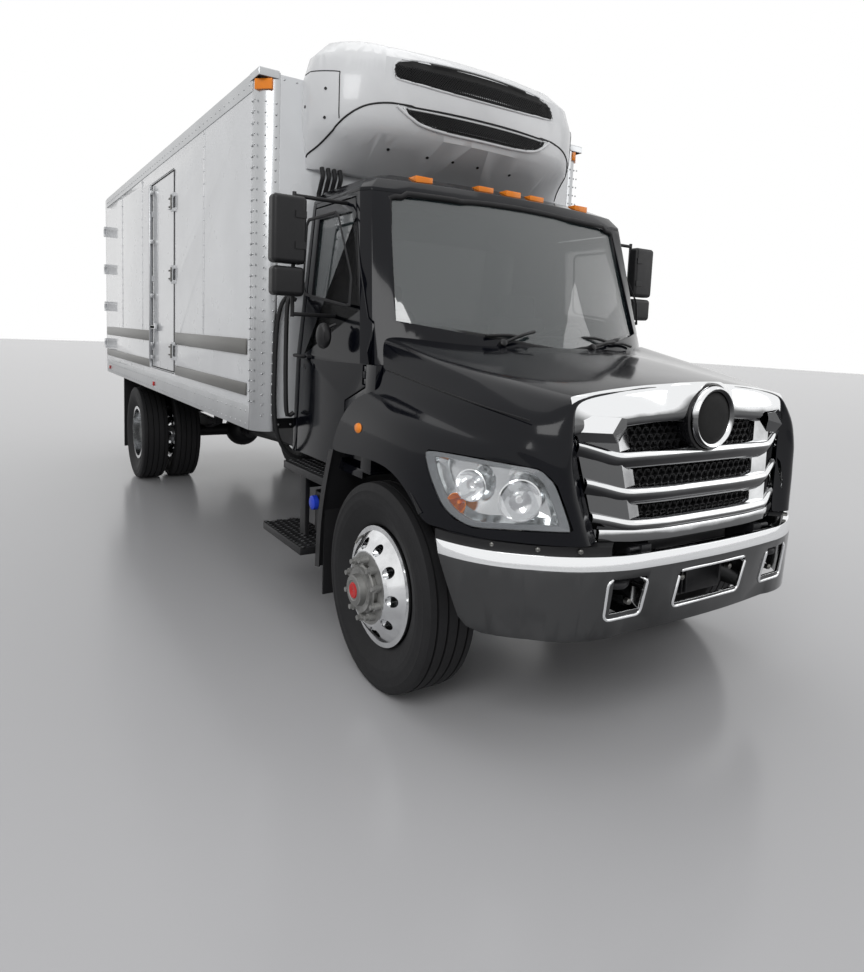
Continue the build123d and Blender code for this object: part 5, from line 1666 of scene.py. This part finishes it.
@dataclass
class RefrigerationUnit(SubAssembly):
    """Cooling unit on the cargo body's front: rounded cover, slots, parting lines and screws.

    Its lines run from the right-hand end to the middle, and mirrored() takes them across.
    """

    parting: Sequence[Point] = ((-1.03, 1.262, 2.815), (-0.975, 1.176, 2.87), (-0.936, 1.082, 2.933),
                                (-0.898, 1.001, 3.002), (-0.851, 0.952, 3.048), (-0.794, 0.923, 3.084),
                                (-0.732, 0.902, 3.106), (-0.666, 0.888, 3.120), (-0.590, 0.868, 3.124),
                                (-0.280, 0.815, 3.120), (0.0, 0.800, 3.118))
    upper_top: Sequence[Point] = ((-0.620, 0.890, 3.318), (-0.604, 0.900, 3.362), (-0.560, 0.900, 3.386),
                                  (-0.448, 0.888, 3.406), (-0.254, 0.876, 3.418), (0.0, 0.866, 3.422))
    upper_foot: Sequence[Point] = ((-0.618, 0.885, 3.290), (-0.606, 0.871, 3.268), (-0.540, 0.850, 3.256),
                                   (-0.472, 0.837, 3.251), (-0.290, 0.808, 3.237), (0.0, 0.793, 3.230))
    lower_top: Sequence[Point] = ((-0.560, 0.863, 3.108), (-0.500, 0.850, 3.108), (-0.464, 0.841, 3.108),
                                  (-0.280, 0.813, 3.106), (0.0, 0.798, 3.104))
    lower_foot: Sequence[Point] = ((-0.556, 0.863, 3.100), (-0.518, 0.854, 3.056), (-0.430, 0.846, 3.022),
                                   (-0.263, 0.831, 3.006), (0.0, 0.818, 3.002))
    holes: Sequence[Point] = ((-0.58, 1.005, 2.890), (-0.308, 0.983, 2.883), (-0.12, 0.970, 2.882),
                              (0.08, 0.973, 2.881), (0.365, 0.991, 2.880))
    columns: int = 97
    cell_radius: float = 0.0085

    def build(self) -> None:
        """Makes the cover and what is set into it."""
        skin, seam_radius = Skin("refrigeration_unit"), 0.0035
        self.softened("refrigeration_unit", Finish.UNIT_WHITE, "unit_white", bevel=0.022, angle=32,
                      segments=4)
        self.opening("unit_upper_vent", skin, self.upper_top, self.upper_foot, ("unit_vents",))
        self.opening("unit_lower_vent", skin, self.lower_top, self.lower_foot, ())
        seams = Shape()
        seams.tube(skin.along(mirrored(self.parting), 90, 0.001), 0.0055, 8)
        for side in (-1, 1):
            upright = [(side * 0.918, 1.001, z) for z in (3.272, 3.18, 3.087, 3.006)]
            seams.tube(skin.along(upright, 16), seam_radius, 6)
            level = [(side * x, y, z)
                     for x, y, z in ((1.032, 1.268, 3.300), (0.985, 1.099, 3.285), (0.917, 1.001, 3.272))]
            seams.tube(skin.along(level, 16), seam_radius, 6)
        self.piece("unit_seams", seams, Finish.BLACK_PLASTIC, "vent_black", angle=60)
        dots = Shape()
        for place in self.holes:
            dots.rod(skin.on(place, -0.01), skin.on(place, 0.004), 0.010, 16)
        for side in (-1, 1):
            for place in ((side * 0.976, 1.066, 3.179), (side * 0.974, 1.076, 3.017),
                          (side * 1.02, 1.23, 3.10)):
                dots.rod(skin.on(place, -0.01), skin.on(place, 0.003), 0.009, 12)
        self.piece("unit_screws", dots, Finish.BLACK_PLASTIC, "vent_black", angle=40)
        lip_line = mirrored([(-0.60, 0.872, 3.112), *self.lower_foot[1:]])
        lip = Shape().tube(skin.along(lip_line, 60, 0.001), 0.011, 10)
        self.piece("unit_lip", lip, Finish.UNIT_WHITE, "unit_white", angle=60)

    def opening(self, name: str, skin: Skin, top_line: Sequence[Point], foot_line: Sequence[Point],
                replaces: Sequence[str]) -> None:
        """Makes one vent: a dark panel, its cells and a rim.

        Args:
            name: first word of its pieces' names.
            skin: the housing's surface.
            top_line: upper edge, from the right end to the middle.
            foot_line: lower edge, likewise.
            replaces: CAD nodes that its panel stands for.
        """
        high = [Vector(skin.front(p)) for p in smooth_line(mirrored(top_line), self.columns)]
        low = [Vector(skin.front(p)) for p in smooth_line(mirrored(foot_line), self.columns)]
        rows, sink, cell_sink, margin = [], 0.004, 0.010, 0.010
        for step in range(11):
            row = []
            for a, b in zip(high, low):
                chord = a.lerp(b, step / 10)
                row.append((chord.x, min(chord.y, skin.front(chord)[1]) - sink, chord.z))
            rows.append(row)
        self.piece(f"{name}_panel", Shape().grid(rows), Finish.VENT_BLACK, "vent_black", replaces=replaces,
                   thick=0.003, facing=(0, -1, 0))
        cells, places, radius = Shape(), [], self.cell_radius
        for row in range(40):
            z = 2.99 + row * radius * 1.73 * 0.62
            for column in range(-75, 76):
                x = column * radius * 1.9 + (radius * 0.95 if row % 2 else 0.0)
                top, foot = min(zip(high, low), key=lambda pair: abs(pair[0].x - x))
                if abs(top.x - x) < 0.02 and foot.z + margin < z < top.z - margin:
                    chord = top.lerp(foot, (top.z - z) / (top.z - foot.z))
                    places.append((x, min(chord.y, skin.front((x, chord.y, z))[1]) - cell_sink, z))
        cells.hexes(places, radius, 0.005, 0.0022, (0, 1, 0))
        self.piece(f"{name}_cells", cells, Finish.BLACK_PLASTIC, "vent_black", angle=20)
        edge = [(p.x, p.y - 0.002, p.z) for p in (*high, *reversed(low[1:-1]))]
        rim = Shape().tube([*edge, edge[0], edge[1]], 0.007, 8)
        self.piece(f"{name}_rim", rim, Finish.UNIT_WHITE, "unit_white", angle=60)


@dataclass
class CargoBody(SubAssembly):
    """Insulated cargo body: panels, rails, posts, side door hardware and rivets.

    Its sizes, and the places of its rivets, are counted from the frame's own origin.
    """

    front: float = -1.755
    back: float = 4.0
    rail: float = 1.3028
    wall: float = 1.2990
    door_face: float = 1.3005
    cap: float = 1.3046
    marker: float = 1.307
    rivet: float = 0.0065

    def build(self) -> None:
        """Dresses the panels and adds the hardware."""
        for node in ("box_front_wall", "box_left_wall", "box_right_wall", "box_roof"):
            self.softened(node, Finish.WHITE_PAINT, "white_paint", bevel=0.003, angle=30)
        self.softened("box_posts_and_rails", Finish.POLISHED, "polished_aluminium", bevel=0.010, angle=30,
                      segments=4)
        self.softened("rub_rails", Finish.STEEL, "steel_strip", bevel=0.006, angle=30)
        self.rivets()
        self.seams()
        self.side_door()
        self.corners()

    def row(self, shape: Shape, start: Point, end: Point, pitch: float, out: Point) -> None:
        """One row of rivets, in the frame's own coordinates.

        Args:
            shape: receives the rivets.
            start: first rivet.
            end: last rivet.
            pitch: about how far apart they are.
            out: direction that their heads face.
        """
        first, last, face = Vector(start), Vector(end), Vector(out)
        count = max(1, round((last - first).length / pitch))
        for step in range(count + 1):
            place = first.lerp(last, step / count) - Vector((0, AXLE_Y, 0))
            shape.rod(tuple(place - face * 0.002), tuple(place + face * 0.0015), self.rivet, 8, 0.45)

    def rivets(self) -> None:
        """Makes the rows of rivets along the rails, the posts and the front wall."""
        shape, post_pitch = Shape(), 0.065
        for side in (-1, 1):
            out, x = (side, 0, 0), side * self.rail
            for z in (1.150, 1.232, 3.225):
                self.row(shape, (x, self.front + 0.18, z), (x, self.back - 0.05, z), 0.105, out)
            for y in (self.front + 0.075, self.front + 0.125):
                self.row(shape, (x, y, 1.30), (x, y, 3.12), post_pitch, out)
            for x in (side * 1.195, side * 1.262):
                self.row(shape, (x, self.front, 1.22), (x, self.front, 3.10), post_pitch, (0, -1, 0))
        for z in (1.16, 3.245):
            self.row(shape, (-1.15, self.front, z), (1.15, self.front, z), 0.08, (0, -1, 0))
        self.piece("box_rivets", shape, Finish.POLISHED, "polished_aluminium", angle=50)

    def seams(self) -> None:
        """Makes the upright joint strips between the walls' sheets, with their rivets."""
        shape, dots = Shape(), Shape()
        for side in (-1, 1):
            x = side * self.wall
            for y in (-0.55, 1.75, 2.90):
                shape.box((x - 0.0012, x + 0.0012), (y - AXLE_Y - 0.020, y - AXLE_Y + 0.020), (1.70, 3.185))
                for beside in (y - 0.012, y + 0.012):
                    self.row(dots, (x, beside, 1.74), (x, beside, 3.15), 0.09, (side, 0, 0))
        self.piece("box_joint_strips", shape, Finish.WHITE_PAINT, "white_paint", bevel=0.0005)
        self.piece("box_joint_rivets", dots, Finish.WHITE_PAINT, "white_paint", angle=50)

    def side_door(self) -> None:
        """Makes the side door's lock rod with brackets and handle, its hinge pins, bolts and seal."""
        low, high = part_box("side_door")
        face, y = low.x + 0.006, high.y - AXLE_Y - 0.075
        rod = Shape().rod((face - 0.004, y, low.z + 0.06), (face - 0.004, y, high.z - 0.04), 0.010, 12)
        for z in (low.z + 0.10, 1.56, 2.02, 2.52, high.z - 0.09):
            rod.box((face - 0.004, face + 0.022), (y - 0.034, y + 0.034), (z - 0.020, z + 0.020))
        rod.box((face - 0.006, face + 0.004), (y - 0.19, y - 0.012), (1.712, 1.738))
        rod.box((face - 0.004, face + 0.020), (y - 0.20, y - 0.15), (1.690, 1.760))
        self.piece("side_door_lock", rod, Finish.POLISHED, "polished_aluminium", "side_door", bevel=0.002)
        pins, hinge = Shape(), low.y - AXLE_Y
        for z in (1.53, 2.18, 2.78):
            pins.rod((face + 0.002, hinge + 0.006, z - 0.06), (face + 0.002, hinge + 0.006, z + 0.06),
                     0.008, 12)
            for bolt_z in (z - 0.034, z + 0.034):
                for bolt_y in (hinge + 0.035, hinge + 0.075):
                    pins.rod((face + 0.004, bolt_y, bolt_z), (face - 0.003, bolt_y, bolt_z), 0.007, 8, 0.4)
        self.piece("side_door_pins", pins, Finish.STEEL, "steel_strip", "side_door", angle=40)
        seal, inset, x = Shape(), 0.012, -self.door_face
        ahead, behind = low.y - AXLE_Y + inset, high.y - AXLE_Y - inset
        foot, top = low.z + inset, high.z - inset
        corners = [(x, ahead, foot), (x, behind, foot), (x, behind, top), (x, ahead, top)]
        for first, second in zip(corners, corners[1:] + corners[:1]):
            seal.rod(first, second, 0.005, 8)
        self.piece("side_door_seal", seal, Finish.RUBBER, "black_rubber", "side_door", angle=50)

    def corners(self) -> None:
        """Makes the caps on the top corners and the red markers on the bottom rails."""
        shape, front, heights = Shape(), self.front - AXLE_Y, (3.240, 3.284)
        for side in (-1, 1):
            outer, inner = side * self.cap, side * 1.180
            x = (min(outer, inner), max(outer, inner))
            shape.box(x, (front - 0.002, front + 0.16), (3.266, 3.288))
            shape.box((outer - 0.003, outer + 0.003), (front, front + 0.16), heights)
            shape.box(x, (front - 0.003, front + 0.003), heights)
        self.piece("corner_caps", shape, Finish.POLISHED, "polished_aluminium", bevel=0.006, segments=3)
        red = Shape()
        for side in (-1, 1):
            x = side * self.marker
            for y in (4.24, 6.86):
                red.box((x - 0.006, x + 0.006), (y - 0.03, y + 0.03), (1.162, 1.202))
        self.piece("side_markers", red, Finish.RED, "red_lens", bevel=0.004, segments=3)


@dataclass
class Chassis(SubAssembly):
    """Fuel tank, the small tank's cap, the air hose and the rear doors' lock rods."""

    rear: float = 4.142

    def build(self) -> None:
        """Makes the tank and cap under the cab and the hose behind it, then the lock rods."""
        self.softened("fuel_tank", Finish.POLISHED, "polished_aluminium", bevel=0.01, angle=35, segments=3)
        cap = Shape().lathe([(0.01, 0.030), (-0.012, 0.030), (-0.014, 0.044), (-0.040, 0.042),
                             (-0.046, 0.030)], (-1.035, 0.90, 0.735), "x", 24)
        self.piece("fluid_tank_cap", cap, Finish.BLUE_PLASTIC, "black_plastic", angle=40)
        hose = Shape().tube([(-0.90, 1.262, 2.10), (-1.055, 1.25, 2.006), (-1.165, 1.25, 1.875),
                             (-1.190, 1.25, 1.45), (-1.172, 1.25, 1.13), (-1.08, 1.25, 0.97),
                             (-0.90, 1.25, 0.93)], 0.013, 10, 60)
        self.piece("air_hose", hose, Finish.RUBBER, "black_rubber", angle=60)
        for side, label in ((-1, "right"), (1, "left")):
            self.lock_rods(side, label)

    def lock_rods(self, side: int, label: str) -> None:
        """Makes the two lock rods of one rear door, with their brackets and handle.

        Args:
            side: 1 for the left door, -1 for the right one.
            label: left or right.
        """
        back, near, far = self.rear - AXLE_Y, side * 0.13, side * 0.95
        shape = Shape()
        for x in (near, far):
            shape.rod((x, back + 0.001, 1.36), (x, back + 0.001, 3.10), 0.011, 12)
            for z in (1.42, 1.80, 2.30, 2.80, 3.05):
                shape.box((x - 0.035, x + 0.035), (back - 0.008, back + 0.008), (z - 0.018, z + 0.018))
        grip = side * 0.55
        shape.box((min(near, grip), max(near, grip)), (back + 0.003, back + 0.011), (1.585, 1.615))
        shape.box((side * 0.52 - 0.03, side * 0.52 + 0.03), (back - 0.008, back + 0.010), (1.57, 1.63))
        self.piece(f"rear_door_rods_{label}", shape, Finish.POLISHED, "polished_aluminium",
                   f"rear_door_{label}", bevel=0.002)


PLAIN_FINISHES = {
    Finish.WHITE_PAINT: ("box_rear_frame", "side_door", "rear_door_left", "rear_door_right"),
    Finish.CHASSIS: ("frame_rails", "front_axle", "rear_axle", "leaf_springs", "powertrain", "radiator",
                     "knuckle_left", "knuckle_right", "tie_rod", "box_sills", "box_cross_members", "box_floor",
                     "hood_hinges", "rear_guard"),
    Finish.WHEEL: ("front_wheel_left", "front_wheel_right", "rear_wheels_left", "rear_wheels_right"),
    Finish.RUBBER: ("mud_flaps", "unit_hoses"),
    Finish.BLACK_PLASTIC: ("fluid_tank",),
    Finish.GLASS: ("windshield", "rear_glass", "door_glass_left", "door_glass_right"),
    Finish.RED: ("tail_lamps",),
}


def main() -> None:
    """Builds the studio and every sub-assembly."""
    logging.basicConfig(level=logging.INFO, format="%(name)s: %(message)s")
    Studio().build()
    for finish, nodes in PLAIN_FINISHES.items():
        for node in nodes:
            dress(node, finish)
    for group in (Hood, HeadLamps, WheelGuards, Grille, FrontBumper, Axles, Cab, RefrigerationUnit, CargoBody,
                  Chassis):
        group().build()


if __name__ == "__main__":
    main()
